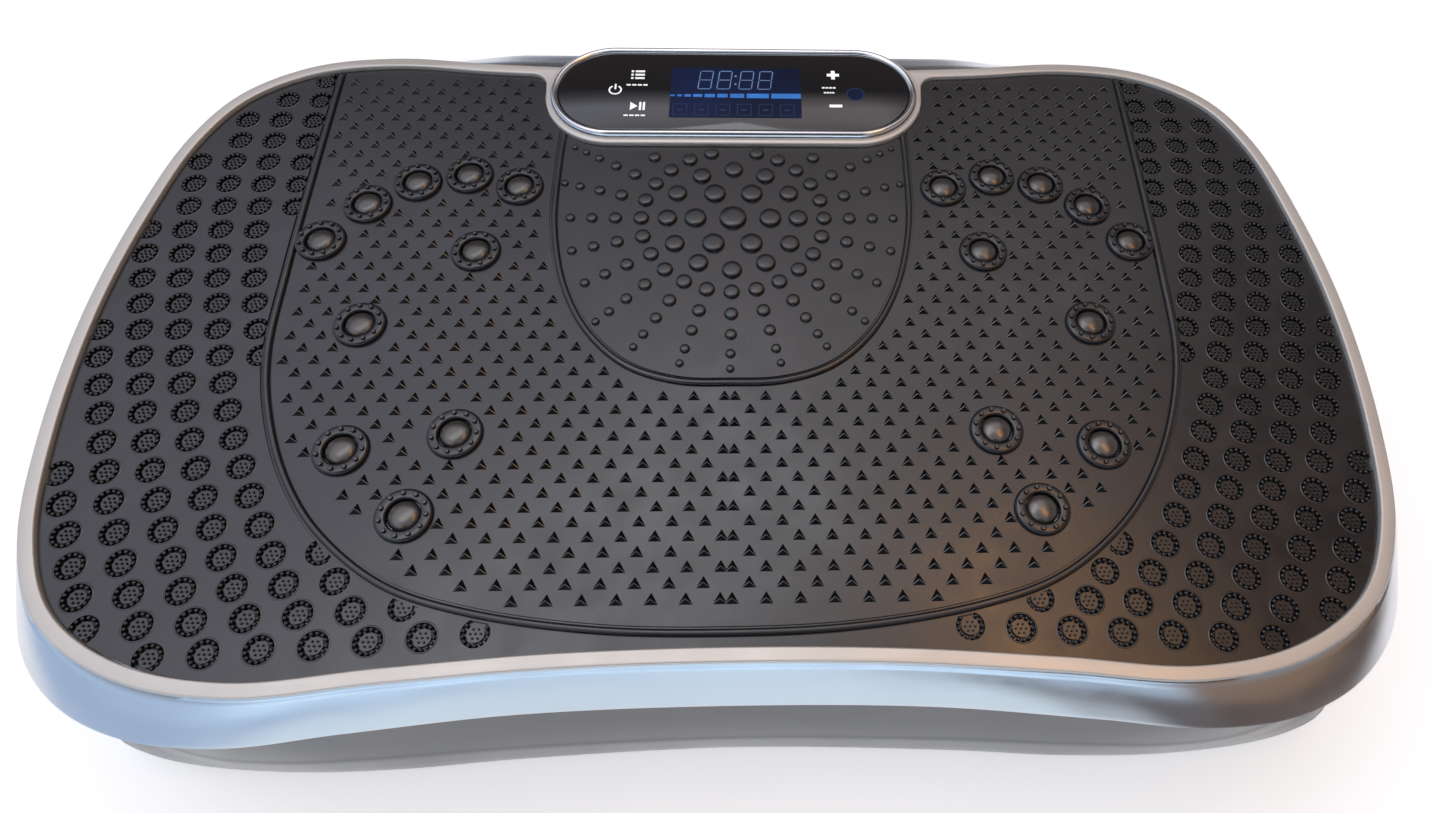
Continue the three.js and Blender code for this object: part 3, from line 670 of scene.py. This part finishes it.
def rosette_places():
    """Curved rows and columns in the side zones, mirrored left and right."""
    places = []
    for row in range(23):
        far_y = 134.5 - 12.95 * row + 0.00142 * row**3
        column = 205.4 - 0.00147 * max(0.0, 110 - far_y) ** 2
        pitch = 14.6 + 2.6 * (max(0.0, 60 - far_y) / 195) ** 2
        for step in range(-2, 6):
            x = column + pitch * step
            y = far_y + 0.062 * (200 - x) * min(1.0, max(0.0, -far_y / 130))
            places += [(x, y), (-x, y)]
    places = np.array(places)
    room = np.where(places[:, 1] > 0, 3.6, 2.6)
    clear = (gap_to(places, STAND_LINE) > room) & ~inside(places, STAND_LINE)
    return places[clear & well_inside(places, MAT_LOOP, 1.5)]


ROSETTES = rosette_places()


def mat_sheet():
    """Sheet with recesses for the rosettes, grooves beside the ribs and holes for the magnets."""
    edge = mat_loop(-GAP)
    loops = [edge]
    loops += [circle(x, y, ROSETTE_R, 28) for x, y in ROSETTES]
    loops += [circle(x, y, ROSETTE_HEART, 16) for x, y in ROSETTES]
    loops += [circle(x, y, HOLE_R, 36) for x, y in MAGNET_PLACES.values()]
    lines = []
    for rib in (HUB_LINE, STAND_LINE):
        lines += [rib + leftward(rib) * side * reach for side in (-1, 1) for reach in GROOVE]
    points, edges = [], []
    for loop, closed in [(loop, True) for loop in loops] + [(line, False) for line in lines]:
        start = len(points)
        points += [tuple(p) for p in loop]
        edges += [(start + i, start + i + 1) for i in range(len(loop) - 1)]
        if closed:
            edges.append((len(points) - 1, start))
    flat, _, triangles, _, _, _ = delaunay_2d_cdt(points, edges, [], 0, 1e-5, False)
    flat = np.array(flat)
    triangles = np.array(triangles)
    middle = flat[triangles].mean(1)
    depth = np.zeros(len(triangles))
    near_rib = np.minimum(gap_to(middle, HUB_LINE), gap_to(middle, STAND_LINE))
    depth[(near_rib > GROOVE[0]) & (near_rib < GROOVE[1])] = GROOVE_DEPTH
    for x, y in ROSETTES:
        reach = np.hypot(middle[:, 0] - x, middle[:, 1] - y)
        depth[(reach < ROSETTE_R * 0.993) & (near_rib > GROOVE[1])] = ROSETTE_DEPTH
        depth[(reach < ROSETTE_HEART * 0.98) & (near_rib > GROOVE[1])] = HEART_DEPTH
    bottom = MAT_TOP - MAT_LOW
    depth[~inside(middle, edge)] = bottom
    for x, y in MAGNET_PLACES.values():
        depth[np.hypot(middle[:, 0] - x, middle[:, 1] - y) < HOLE_R * 0.996] = bottom
    terraces("deck_mat", flat, triangles, depth, bottom)


def terraces(name, flat, triangles, depth, bottom):
    """Flat levels at their depths below the mat's top, joined by upright walls."""
    shape = Shape()
    made = {}

    def corner(index, level):
        if (index, level) not in made:
            made[index, level] = len(shape.points)
            shape.points.append((*flat[index], MAT_TOP - level))
        return made[index, level]

    sides = {}
    for (a, b, c), level in zip(triangles.tolist(), depth.tolist()):
        for start, end in ((a, b), (b, c), (c, a)):
            sides[start, end] = level
        if level < bottom:
            shape.faces.append(tuple(corner(i, level) for i in (a, b, c)))
    for (a, b), level in sides.items():
        beyond = sides.get((b, a), bottom)
        if level < beyond:
            low, high = (corner(i, beyond) for i in (a, b)), (corner(i, level) for i in (b, a))
            shape.faces.append((*low, *high))
    keep(shape.piece(name, 30), "deck", "mat_rubber", MAT_RUBBER, "mat")


def on_mat(shape, name, sharp, finish=MAT_RUBBER):
    keep(shape.piece(name, sharp), "deck", "mat_rubber", finish)


def rib_beads():
    """Half-round beads that run along both rib lines."""
    shape = Shape()
    profile = [(GROOVE[0] * math.cos(t), 1.0 * math.sin(t)) for t in np.linspace(0, math.pi, 9)]
    for line in (HUB_LINE, STAND_LINE):
        line = line[inside(line, mat_loop(-1.0))]
        rows = [shape.ring(line - leftward(line) * across, MAT_TOP - 0.02 + rise) for across, rise in profile]
        for here, there in zip(rows, rows[1:]):
            shape.skin(here, there, closed=False)
        for end, turned in ((0, False), (-1, True)):
            face = [row[end] for row in rows]
            shape.faces.append(tuple(reversed(face)) if turned else tuple(face))
    on_mat(shape, "mat_ribs", 50)


def bead(shape, x, y, radius, base, top, sides=10):
    """Small round-headed pip that stands on a surface."""
    profile = [(radius, base - 0.05), (radius, top - 0.35), (radius * 0.8, top - 0.07), (0, top)]
    shape.turn(profile, x, y, sides)


def rosettes(side, hand):
    """A ring of beads and a cluster of pips in each recess, left out where a recess is cut short."""
    shape = Shape()
    for x, y in ROSETTES[ROSETTES[:, 0] * hand > 0]:
        ring = circle(x, y, RING_OF_BEADS, 13)
        heart = np.vstack([[(x, y)], circle(x, y, RING_OF_PIPS, 6)])
        for spots, radius, base, top in (
            (ring, BEAD_R, MAT_TOP - ROSETTE_DEPTH, MAT_TOP + 0.55),
            (heart, PIP_R, MAT_TOP - HEART_DEPTH, MAT_TOP + 0.35),
        ):
            near = np.minimum(gap_to(spots, STAND_LINE) - GROOVE[1], gap_to(spots, MAT_LOOP, True) - GAP)
            ok = inside(spots, MAT_LOOP) & (near > radius)
            for px, py in spots[ok]:
                bead(shape, px, py, radius, base, top)
    on_mat(shape, f"mat_rosettes_{side}", 60)


def rosette_lips():
    """A fine raised line round each recess."""
    shape = Shape()
    rises = [(0.55, -0.03), (0.3, 0.16), (0, 0.1), (0, -0.03)]
    profile = [(ROSETTE_R + out, MAT_TOP + rise) for out, rise in rises]
    for x, y in ROSETTES:
        loop = circle(x, y, ROSETTE_R + 0.3, 28)
        whole = inside(loop, mat_loop(-0.8)) & (gap_to(loop, STAND_LINE) > GROOVE[1] + 0.3)
        if whole.all():
            shape.turned_ring(profile, x, y, 28)
    on_mat(shape, "mat_rosette_lips", 60)


def dome_rings():
    """Rings of flat-topped domes as (radius, dome diameter, angles in degrees)."""

    def low_side(reach):
        return [angle for angle in range(0, 360, 15) if angle >= 180 - reach or angle <= reach]

    return [
        (0.0, 11.6, [0]),
        (16.1, 9.4, range(0, 360, 60)),
        (28.1, 8.2, range(0, 360, 30)),
        (39.3, 6.6, range(0, 360, 15)),
        (50.3, 5.6, low_side(45)),
        (60.3, 4.8, low_side(30)),
        (69.4, 4.0, low_side(30)),
        (76.4, 3.2, [0, 15, 30, 150, 165, 180, 225, 240, 255, 270, 285, 300, 315]),
        (82.5, 2.6, [30, 150, 255, 270, 285]),
    ]


def domes():
    shape = Shape()
    for distance, width, angles in dome_rings():
        for angle in angles:
            x = distance * math.cos(math.radians(angle))
            y = DOME_CENTRE_Y + distance * math.sin(math.radians(angle))
            spot = np.array([(x, y)])
            if not inside(spot, HUB_LINE)[0] or gap_to(spot, HUB_LINE)[0] < width / 2 + 1.6:
                continue
            if well_inside(spot, mat_loop(), width / 2 + 0.5)[0]:
                flat_topped_dome(shape, x, y, width / 2)
    on_mat(shape, "mat_domes", 50)


def flat_topped_dome(shape, x, y, radius):
    rise = 0.9 + 0.20 * radius
    soft = min(0.9, radius * 0.45)
    top = MAT_TOP + rise
    side = radius - 0.05
    profile = [(radius + 0.15, MAT_TOP - 0.05), (radius, MAT_TOP + 0.15), (side, top - soft)]
    for lean in np.radians([25, 50, 72]):
        profile.append((side - soft * (1 - math.cos(lean)), top - soft + soft * math.sin(lean)))
    profile += [((radius - soft) * 0.6, top + 0.03), (0, top + 0.05)]
    shape.turn(profile, x, y, 32 if radius > 3 else 20)


PYRAMID_PITCH_X = 11.7
PYRAMID_PITCH_Y = 5.7
PYRAMID_HALF = 2.65
PYRAMID_RISE = 1.5
RIDGE_FLAT = 0.24


def pyramid_places():
    """Staggered rows over the standing area, mirrored about the middle."""
    places = []
    for row in range(46):
        y = 133.4 - PYRAMID_PITCH_Y * row
        start = 7.85 if row % 2 else 2.0
        for step in range(17):
            x = start + PYRAMID_PITCH_X * step
            places += [(x, y), (-x, y)]
    places = np.array(places)
    ok = inside(places, STAND_LINE) & (gap_to(places, STAND_LINE) > 6.0)
    ok &= ~inside(places, HUB_LINE) & (gap_to(places, HUB_LINE) > 4.8)
    ok &= well_inside(places, mat_loop(), 4.2)
    collars = np.array(list(MAGNET_PLACES.values()))
    room = np.linalg.norm(places[:, None] - collars, axis=2).min(1)
    return places[ok & (room > COLLAR_R + 2.0)]


PYRAMID_NEAR = -2.0
PYRAMID_TIP = np.array([0, -0.35])


def pyramids():
    """Small three-sided pyramids with their points towards the console and narrow flats on their ridges."""
    corners = np.array([(-PYRAMID_HALF, PYRAMID_NEAR), (PYRAMID_HALF, PYRAMID_NEAR), (0, 2.6)])
    sides = [(corners[k - 1] - corners[k], corners[(k + 1) % 3] - corners[k]) for k in range(3)]
    flats = np.array([RIDGE_FLAT * side / np.linalg.norm(side) for pair in sides for side in pair])
    base = np.repeat(corners, 2, 0) + flats
    tip = PYRAMID_TIP + flats * 0.8
    shape = Shape()
    for place in pyramid_places():
        shape.loft([(base + place, MAT_TOP - 0.05), (tip + place, MAT_TOP + PYRAMID_RISE)], low_cap=False)
    # The pyramids take the darker rubber: painted shade on their faces.
    on_mat(shape, "mat_pyramids", 20, PYRAMID_SHADE_RUBBER)


def pyramid_ridges():
    """Lighter line down each near ridge of the pyramids: a painted highlight where the ridges catch the
    light.
    """
    shape = Shape()
    heights = np.array([PYRAMID_RISE, PYRAMID_RISE, 0.08, 0.08]) + MAT_TOP
    for side in (-1, 1):
        foot = np.array([side * (PYRAMID_HALF - 0.25), PYRAMID_NEAR + 0.15])
        across = np.array([0.06, side * 0.1])
        edge = np.array([PYRAMID_TIP - across, PYRAMID_TIP + across, foot + across, foot - across])
        for place in pyramid_places():
            shape.loft([(edge + place, heights - 0.06), (edge + place, heights + 0.06)])
    # The ridge strips are far lighter than the mat: a painted highlight.
    on_mat(shape, "mat_pyramid_ridges", 20, RIDGE_HIGHLIGHT_RUBBER)


def magnet_collars():
    """Raised collar with a ring of beads round each magnet."""
    shape = Shape()
    top = COLLAR_TOP
    profile = [
        (COLLAR_R, MAT_TOP - 0.05), (COLLAR_R - 0.1, top - 1.1), (COLLAR_R - 0.45, top - 0.55),
        (COLLAR_R - 1.1, top - 0.3), (HOLE_R + 0.7, top - 0.3), (HOLE_R + 0.25, top - 0.45),
        (HOLE_R, top - 0.8), (HOLE_R, MAT_LOW + 0.5),
    ]
    for x, y in MAGNET_PLACES.values():
        shape.turned_ring(profile, x, y, 48)
        for px, py in circle(x, y, 8.15, 11):
            bead(shape, px, py, 0.95, top - 0.4, top + 0.75, 14)
    on_mat(shape, "mat_collars", 45)


def magnets():
    for name, (x, y) in MAGNET_PLACES.items():
        low, high = span(name)
        radius = (high[0] - low[0]) / 2 + 0.2
        profile = [(0, low[2]), (radius, low[2]), (radius, high[2] - 2.3), (radius - 0.3, high[2] - 1.85)]
        for lean in np.radians(11.25 * np.arange(1, 9)):
            profile.append(((radius - 0.3) * math.cos(lean), high[2] - 1.85 + 1.85 * math.sin(lean)))
        shape = Shape()
        shape.turn(profile, x, y, 48)
        keep(shape.piece(name + "_stud", 50), "deck", "magnet_pearl", MAGNET_PEARL, name)


# ---- console ----
BEZEL_OUT = BEZEL_R - 1.3


def console_bezel():
    """Rounded ring round the glass, with a fine groove before the surround."""
    shape = Shape()
    top = BEZEL_HIGH[2]
    glass = GLASS_HIGH[2]
    profile = [(BEZEL_OUT, MAT_LOW), (BEZEL_OUT, top - 3.0)]
    for lean in np.radians(11.25 * np.arange(1, 8)):
        profile.append((BEZEL_OUT - 1.9 * (1 - math.cos(lean)), top - 3.0 + 3.0 * math.sin(lean)))
    profile += [
        (BEZEL_OUT - 2.1, top), (GLASS_R + 1.1, top - 0.25), (GLASS_R + 0.6, top - 0.6),
        (GLASS_R + 0.25, glass - 0.1), (GLASS_R + 0.25, MAT_LOW),
    ]
    shape.loft([(stadium(r, 40), z) for r, z in profile], looped=True)
    keep(shape.piece("bezel_ring", 40), "deck", "bezel_chrome", BEZEL_CHROME, "console_bezel")


def console_surround():
    """Low silver step that the bezel stands in."""
    shape = Shape()
    top = RIM_TOP + 0.15
    profile = [
        (SURROUND_R - 0.3, MAT_LOW), (SURROUND_R - 0.3, top - 0.8), (SURROUND_R - 0.55, top - 0.2),
        (SURROUND_R - 1.0, top), (BEZEL_OUT + 0.55, top - 0.05), (BEZEL_OUT + 0.3, top - 0.3),
        (BEZEL_OUT + 0.3, MAT_LOW),
    ]
    shape.loft([(stadium(r, 40), z) for r, z in profile], looped=True)
    keep(shape.piece("console_surround", 40), "deck", "rim_champagne", RIM_CHAMPAGNE)


def touch_glass():
    shape = Shape()
    top = GLASS_HIGH[2]
    profile = [(0, GLASS_LOW[2]), (0, top - 0.35), (-0.12, top - 0.1), (-0.4, top)]
    shape.loft([(stadium(GLASS_R + out, 40), z) for out, z in profile])
    keep(shape.piece("touch_glass", 30), "deck", "panel_black", TOUCH_GLASS, "console_glass")


PRINT_RISE = 0.06


class Print(Shape):
    """Flat marks that stand a hair above the glass, placed from the glass's middle."""

    def __init__(self, lift=1.0):
        super().__init__()
        self.low = GLASS_HIGH[2] - 0.02
        self.high = GLASS_HIGH[2] + PRINT_RISE * lift

    def patch(self, loop):
        loop = [(x, y + CONSOLE_Y) for x, y in loop]
        self.loft([(loop, self.low), (loop, self.high)])

    def bar(self, x0, x1, y0, y1):
        self.patch([(x0, y0), (x1, y0), (x1, y1), (x0, y1)])

    def show(self, name, finish):
        keep(self.piece(name, 30), "deck", "panel_black", finish)

    def hoop(self, x, y, outer, inner, start, end, steps=24):
        """Part of a ring, as a strip of short patches."""
        outside, within = arc(x, y, outer, start, end, steps), arc(x, y, inner, start, end, steps)
        for i in range(steps):
            self.patch([outside[i], outside[i + 1], within[i + 1], within[i]])


def key_marks():
    """Plain symbols for the touch keys: power, programme list, play and pause, plus and minus."""
    marks = Print()
    marks.hoop(-55.6, 0, 3.1, 2.35, 120, 420)
    marks.bar(-56.0, -55.2, 0.4, 3.9)
    for row in range(3):
        marks.bar(-46.9, -42.5, 7.4 + 2.3 * row, 8.6 + 2.3 * row)
        marks.bar(-48.8, -47.7, 7.4 + 2.3 * row, 8.6 + 2.3 * row)
    marks.patch([(-48.0, -13.2), (-44.6, -10.6), (-48.0, -8.0)])
    for x in (-43.9, -42.2):
        marks.bar(x, x + 1.0, -13.2, -8.0)
    marks.bar(43.5, 49.3, 10.2, 12.0)
    marks.bar(45.5, 47.3, 8.2, 14.0)
    marks.bar(44.0, 50.0, -10.6, -8.8)
    for x, y, half in ((-45.4, 3.4, 5.2), (-45.4, -16.6, 5.2), (44.3, 2.4, 3.4), (44.3, -0.9, 2.6)):
        for step in range(4):
            left = x - half + step * half / 2
            marks.bar(left, left + half / 2.6, y - 0.45, y + 0.45)
    # The key marks glow a little: painted light.
    marks.show("key_marks", GLOWING_PRINT_WHITE)


SEGMENT_INK = 0.42
SEGMENT_SLANT = 0.10


def digit(marks, x, y, width, height):
    """The outline of a seven-segment figure with every segment lit."""
    ink = SEGMENT_INK

    def stroke(x0, x1, y0, y1):
        corners = ((x0, y0), (x1, y0), (x1, y1), (x0, y1))
        marks.patch([(across + SEGMENT_SLANT * (up - y), up) for across, up in corners])

    for row in range(3):
        low = y - height / 2 + row * (height - ink) / 2
        stroke(x - width / 2 + ink * 1.3, x + width / 2 - ink * 1.3, low, low + ink)
    for side in (-1, 1):
        edge = x + side * (width - ink) / 2
        for low in (y - height / 2 + ink * 1.2, y + ink * 0.8):
            stroke(edge - ink / 2, edge + ink / 2, low, low + height / 2 - ink * 2)


def display():
    """Blue window with figures, a rising bar of blocks and a row of programme boxes."""
    window = Print(0.4)
    window.bar(-30, 31, -17.9, 15.3)
    window.show("display_window", WINDOW_BLUE)
    figures = Print(0.8)
    for place in (-13.8, -4.9, 5.3, 14.2):
        digit(figures, place, 7.1, 6.4, 12.4)
    for y in (4.4, 9.8):
        figures.bar(-0.3, 0.7, y - 0.5, y + 0.5)
    figures.show("display_figures", DIGIT_BLUE)
    blocks = Print(0.8)
    left = -30.0
    for step, width in enumerate((2.2, 2.2, 3.0, 4.2, 4.8, 4.8, 6.6, 10.4, 13.8)):
        tall = 1.0 + step * 0.28
        blocks.bar(left, left + width, -3.4 - tall / 2, -3.4 + tall / 2)
        left += width + 1.1
    blocks.show("display_level", BAR_BLUE)
    boxes = Print(0.8)
    for step in range(6):
        left = -28.5 + step * 9.9
        for x0, x1, y0, y1 in (
            (0, 6.6, -16.3, -16.0), (0, 6.6, -9.2, -8.9), (0, 0.3, -16.0, -9.2), (6.3, 6.6, -16.0, -9.2),
            (2.0, 4.6, -13.1, -12.3),
        ):
            boxes.bar(left + x0, left + x1, y0, y1)
    boxes.show("display_boxes", FAINT_BLUE)


def remote_eye():
    """Round dark-blue window for the remote control's receiver. The window and its ring take the display's
    glowing blues, so they glow faintly: painted light, as a receiver window gives none.
    """
    eye = Print(1.2)
    eye.patch(circle(56.5, -1.8, 3.9, 40))
    eye.show("remote_eye", WINDOW_BLUE)
    hoop = Print(1.4)
    hoop.hoop(56.5, -1.8, 4.2, 3.8, 0, 360, 40)
    # The ring glows faintly too: painted light.
    hoop.show("remote_eye_ring", FAINT_BLUE)


# ---- lower shell ----
CREASE_Z = 36.0  # soft crease where the wall starts to lean in
VENT_R = 1.6
VENT_HALF = 20
VENT_X = 105
VENT_PITCH = 9


def shell_loop(z, offset):
    """The lower shell's wall line at a height, between its floor line and its upper line."""
    share = float(np.interp(z, [16, CREASE_Z, 52], [1, 0.45, 0]))
    return grown(SHELL_FOOT_LOOP, offset) * share + grown(SHELL_LOOP, offset) * (1 - share)


def shell_profile():
    """Wall of the lower shell as (height, offset), from the floor up to its top edge."""
    low, top = SHELL_LOW[2], SHELL_HIGH[2]
    return [
        (low, -9), (low + 0.05, -4.5), (low + 0.6, -2.2), (low + 1.6, -0.9), (low + 3, -0.2), (low + 5, 0),
        (24, 0), (30, 0), (CREASE_Z - 2, -0.05), (CREASE_Z - 0.7, -0.2), (CREASE_Z + 0.7, -0.45),
        (CREASE_Z + 3, -0.7), (44, -1.2), (52, -2.2), (60, -3.7), (70, -5.6), (80, -7.5), (90, -9.2),
        (top - 0.6, -9.9), (top, -10.2),
    ]


def lower_shell():
    shape = Shape()
    floor = SHELL_LOW[2] + 3.3
    top = SHELL_HIGH[2]
    profile = shell_profile()
    profile += [(top, -9.6 - WALL), (top - 0.4, -10 - WALL), (80, -7.5 - WALL), (52, -2 - WALL)]
    profile += [(CREASE_Z, -WALL), (floor, -4 - WALL)]
    shape.loft([(shell_loop(z, offset), z) for z, offset in profile])
    thing = shape.piece("shell_body", 28)
    openings = Shape()
    x0, x1, z0, z1 = (TRAY_LOW[0] - GAP, TRAY_HIGH[0] + GAP, TRAY_LOW[2] - GAP, TRAY_HIGH[2] + GAP)
    openings.block(x0, x1, TRAY_LOW[1] - 2, FAR_Y + 6, z0, z1)
    for side in (-1, 1):
        for slot in range(7):
            loop = stadium(VENT_R, 6, VENT_HALF, side * VENT_X, slot * VENT_PITCH - 42)
            openings.loft([(loop, SHELL_LOW[2] - 1), (loop, floor + 1)])
    cut(thing, openings, 28)
    keep(thing, "base", "shell_grey", SHELL_GREY, "lower_shell")


def underside():
    """Stiffening ribs, screw bosses and a border on the shell's flat bottom."""
    low = SHELL_LOW[2]
    shape = Shape()
    border = [(-17.2, 0.3), (-17.0, -0.9), (-15.0, -0.9), (-14.8, 0.3)]
    shape.loft([(grown(SHELL_LOOP, offset), low + rise) for offset, rise in border], looped=True)
    for side in (-1, 1):
        shape.block(side * 60 - 1, side * 60 + 1, -118, 128, low - 0.9, low + 0.3)
        for y in (-62, 62):
            shape.block(*sorted((side * 61, side * 232)), y - 1, y + 1, low - 0.9, low + 0.3)
    keep(shape.piece("underside_ribs", 35), "base", "shell_grey", UNDERSIDE_BLACK)
    bosses, screws = Shape(), Shape()
    boss = [(4.1, 0.3), (4.1, -1.2), (4.3, -1.6), (6.6, -1.6), (7.0, -1.3), (7.2, 0.3)]
    head = [(0, -0.7), (0.9, -0.45), (1.5, -1.15), (2.6, -1.05), (3.4, -0.6), (3.6, 0.2), (0, 0.25)]
    for x, y in ((100, 118), (232, 30), (24, 40)):
        for place in ((x, y), (-x, y), (x, -y), (-x, -y)):
            bosses.turned_ring([(r, low + rise) for r, rise in boss], *place, 32)
            screws.turn([(r, low + rise) for r, rise in head], *place, 24)
    keep(bosses.piece("underside_bosses", 35), "base", "shell_grey", UNDERSIDE_BLACK)
    keep(screws.piece("underside_screws", 35), "base", "plated_steel", ZINC)


def suction_feet():
    """Ribbed rubber cups with a thin sealing lip."""
    for number in range(1, 5):
        low, high = span(f"suction_foot_{number}")
        x, y, _ = middle(f"suction_foot_{number}")
        reach, top = (high[0] - low[0]) / 2, high[2]
        profile = [
            (0, 3.2), (5, 3.0), (9, 2.3), (12.5, 0.5), (14, 0), (reach, 0), (reach, 0.5), (reach - 0.6, 1.6),
            (reach - 2.2, 2.9), (reach - 3.6, 3.5), (reach - 4.6, 4.6), (14.6, 5.6), (13.9, 6.4), (13.9, 7.4),
            (14.9, 7.9), (14.9, 8.9), (13.9, 9.4), (13.9, top), (0, top),
        ]
        shape = Shape()
        shape.turn(profile, x, y, 72)
        cup = shape.piece(f"suction_cup_{number}", 35)
        keep(cup, "base", "foot_rubber", FOOT_RUBBER, f"suction_foot_{number}")


def rear_fittings():
    """Inlet tray, inlet, switch frame and rocker with moulded edges."""
    for node, body, width in (
        ("inlet_tray", "base", 0.5), ("power_inlet", "base", 0.4), ("switch_frame", "base", 0.5),
        ("rocker_switch", "rocker", 0.8),
    ):
        keep(softened(node, width), body, "moulded_black", MOULDED_BLACK, node)


ROCKER_TILT = math.radians(8)
ROCKER_FACE = 4.06  # from the rocker's pin to its face


def rocker_marks():
    """A line and a ring printed on the rocker's leaning face."""
    x, y, z = middle("rocker_switch")
    lean, rise = math.sin(ROCKER_TILT), math.cos(ROCKER_TILT)
    shape = Shape()

    def corners(outline, middle):
        start = len(shape.points)
        for across, up in outline:
            up = up + middle
            out, high = ROCKER_FACE * rise + up * lean, up * rise - ROCKER_FACE * lean
            shape.points.append((x + across, y + out, z + high))
        return list(range(start, len(shape.points)))

    line = corners([(-0.35, -1.8), (0.35, -1.8), (0.35, 1.8), (-0.35, 1.8)], 4.6)
    shape.faces.append(tuple(reversed(line)))
    outer, inner = (corners(circle(0, 0, radius, 28), -4.6) for radius in (1.75, 1.2))
    shape.skin(inner, outer)
    # The rocker's printed marks glow a little: painted light.
    keep(shape.piece("rocker_marks", 60), "rocker", "moulded_black", GLOWING_PRINT_WHITE)


# ---- the nodes that keep their CAD shape ----
SLOT_FINISH = {
    "shell_grey": SHELL_GREY, "band_silver": BAND_SILVER, "rim_champagne": RIM_CHAMPAGNE,
    "mat_rubber": MAT_RUBBER, "bezel_chrome": BEZEL_CHROME, "panel_black": TOUCH_GLASS,
    "moulded_black": MOULDED_BLACK, "magnet_pearl": MAGNET_PEARL, "foot_rubber": FOOT_RUBBER,
    "plated_steel": ZINC, "painted_frame": POWDER_COAT, "cast_alloy": CAST_ALLOY,
    "circuit_board": SOLDER_MASK,
}


def dress_nodes():
    for entry in frame["record"]["subparts"]:
        node = frame["nodes"][entry["node"]]
        for place in node.material_slots:
            place.material = SLOT_FINISH[entry["material_slot"]]


# ---- room, lights and camera ----
def area_light(name, place, aim, size, power, colour):
    data = bpy.data.lights.new(name, "AREA")
    data.shape = "RECTANGLE"
    data.size, data.size_y = size
    data.energy = power
    data.color = colour
    lamp = in_scene(name, data)
    lamp.location = place
    lamp.rotation_euler = (Vector(aim) - Vector(place)).to_track_quat("-Z", "Y").to_euler()


PALE = (0.92, 0.92, 0.92)
GREY_BACKDROP = (0.62, 0.62, 0.64)


def floor():
    """Pale floor, plain to look at; the glossy parts see the room's tints in it, away from the plate."""
    shape = Shape()
    shape.block(-6000, 6000, -6000, 6000, -40, -0.2)
    thing = shape.piece("floor")
    finish = Finish("pale_floor", Roughness=0.9, Specular_IOR_Level=0.1, Emission_Strength=0.55)
    x, y, _ = finish.axes(finish.place())
    tints = finish.mix(finish.share(x, -0.55, -0.25), (0.42, 0.55, 0.72), (0.82, 0.95, 1.0))
    tints = finish.mix(finish.share(x, 0.16, 0.27), tints, (0.07, 0.040, 0.024))
    near = finish.mix(finish.noise(3, 2), (0.90, 0.90, 0.90), (0.93, 0.93, 0.93))
    apart = finish.share(y * -1.0, 0.26, 0.42).math("MAXIMUM", finish.share(x * x, 0.22, 0.36))
    seen = finish.node("ShaderNodeLightPath")
    tone = finish.mix(seen, finish.mix(apart, near, tints), PALE)
    finish.feed("Base Color", tone)
    finish.feed("Emission Color", tone)
    thing.data.materials.append(finish.material)


def sky():
    """Soft room light: cool in front, brown to the right, pale overhead and dim behind the console."""
    world = bpy.data.worlds.new("room")
    bpy.context.scene.world = world
    world.use_nodes = True
    graph = Graph(world.node_tree)
    x, y, z = graph.axes(graph.node("ShaderNodeTexCoord"))
    low = graph.mix(graph.share(x, 0.1, 0.42), (0.60, 0.76, 1.0), (0.32, 0.19, 0.11))
    front = graph.share(x * -0.12 + y * -0.99, 0.84, 0.96)
    low = graph.mix(front, low, (1.05, 1.32, 1.60))
    dim = graph.mix(graph.share(z, 0.15, 0.4), low, (0.30, 0.31, 0.34))
    high = graph.mix(graph.share(x, -0.35, 0.05), (1.05, 1.07, 1.24), (1.15, 1.05, 1.08))
    high = graph.mix(graph.share(z, 0.84, 0.95), high, (0.52, 0.52, 0.58))
    high = graph.mix(graph.share(x, 0.30, 0.45), high, (0.14, 0.11, 0.09))
    room = graph.mix(graph.share(z, 0.56, 0.70), dim, high)
    room = graph.mix(graph.share(y, 0.62, 0.75), room, (0.09, 0.08, 0.08))
    onlooker = graph.share(y * -1.0, 0.36, 0.50) * graph.share(z, 0.22, 0.36)
    onlooker = onlooker * graph.span(x * x, 1.0, 0.0, 0.05, 0.12)
    room = graph.mix(onlooker, room, (0.05, 0.048, 0.052))
    seen = graph.node("ShaderNodeLightPath")
    shown = graph.mix(seen, room, GREY_BACKDROP)
    graph.tree.links.new(shown.socket, graph.tree.nodes["Background"].inputs["Color"])


def lights():
    area_light("softbox", (-0.35, 0.35, 1.7), (-0.05, 0, 0.1), (1.3, 0.6), 4, (0.95, 0.97, 1.0))
    area_light("warm_panel", (0.62, 0.08, 1.6), (0.12, -0.14, 0.1), (0.9, 0.32), 2.6, (1.0, 0.45, 0.08))


def camera():
    data = bpy.data.cameras.new("camera")
    data.sensor_width = 36
    data.lens = 22.58
    data.shift_x = -0.0568
    data.clip_start = 0.01
    view = in_scene("camera", data)
    view.location = (0.0148, -0.2131, 0.4108)
    view.rotation_euler = [math.radians(a) for a in (29.582, -1.814, -1.429)]
    bpy.context.scene.camera = view
    bpy.context.scene.view_settings.view_transform = "Standard"


camera()
floor()
sky()
lights()
dress_nodes()
deck_casing()
deck_rim()
mat_sheet()
rib_beads()
rosettes("left", -1)
rosettes("right", 1)
rosette_lips()
domes()
pyramids()
pyramid_ridges()
magnet_collars()
magnets()
console_bezel()
console_surround()
touch_glass()
key_marks()
display()
remote_eye()
lower_shell()
underside()
suction_feet()
rear_fittings()
rocker_marks()
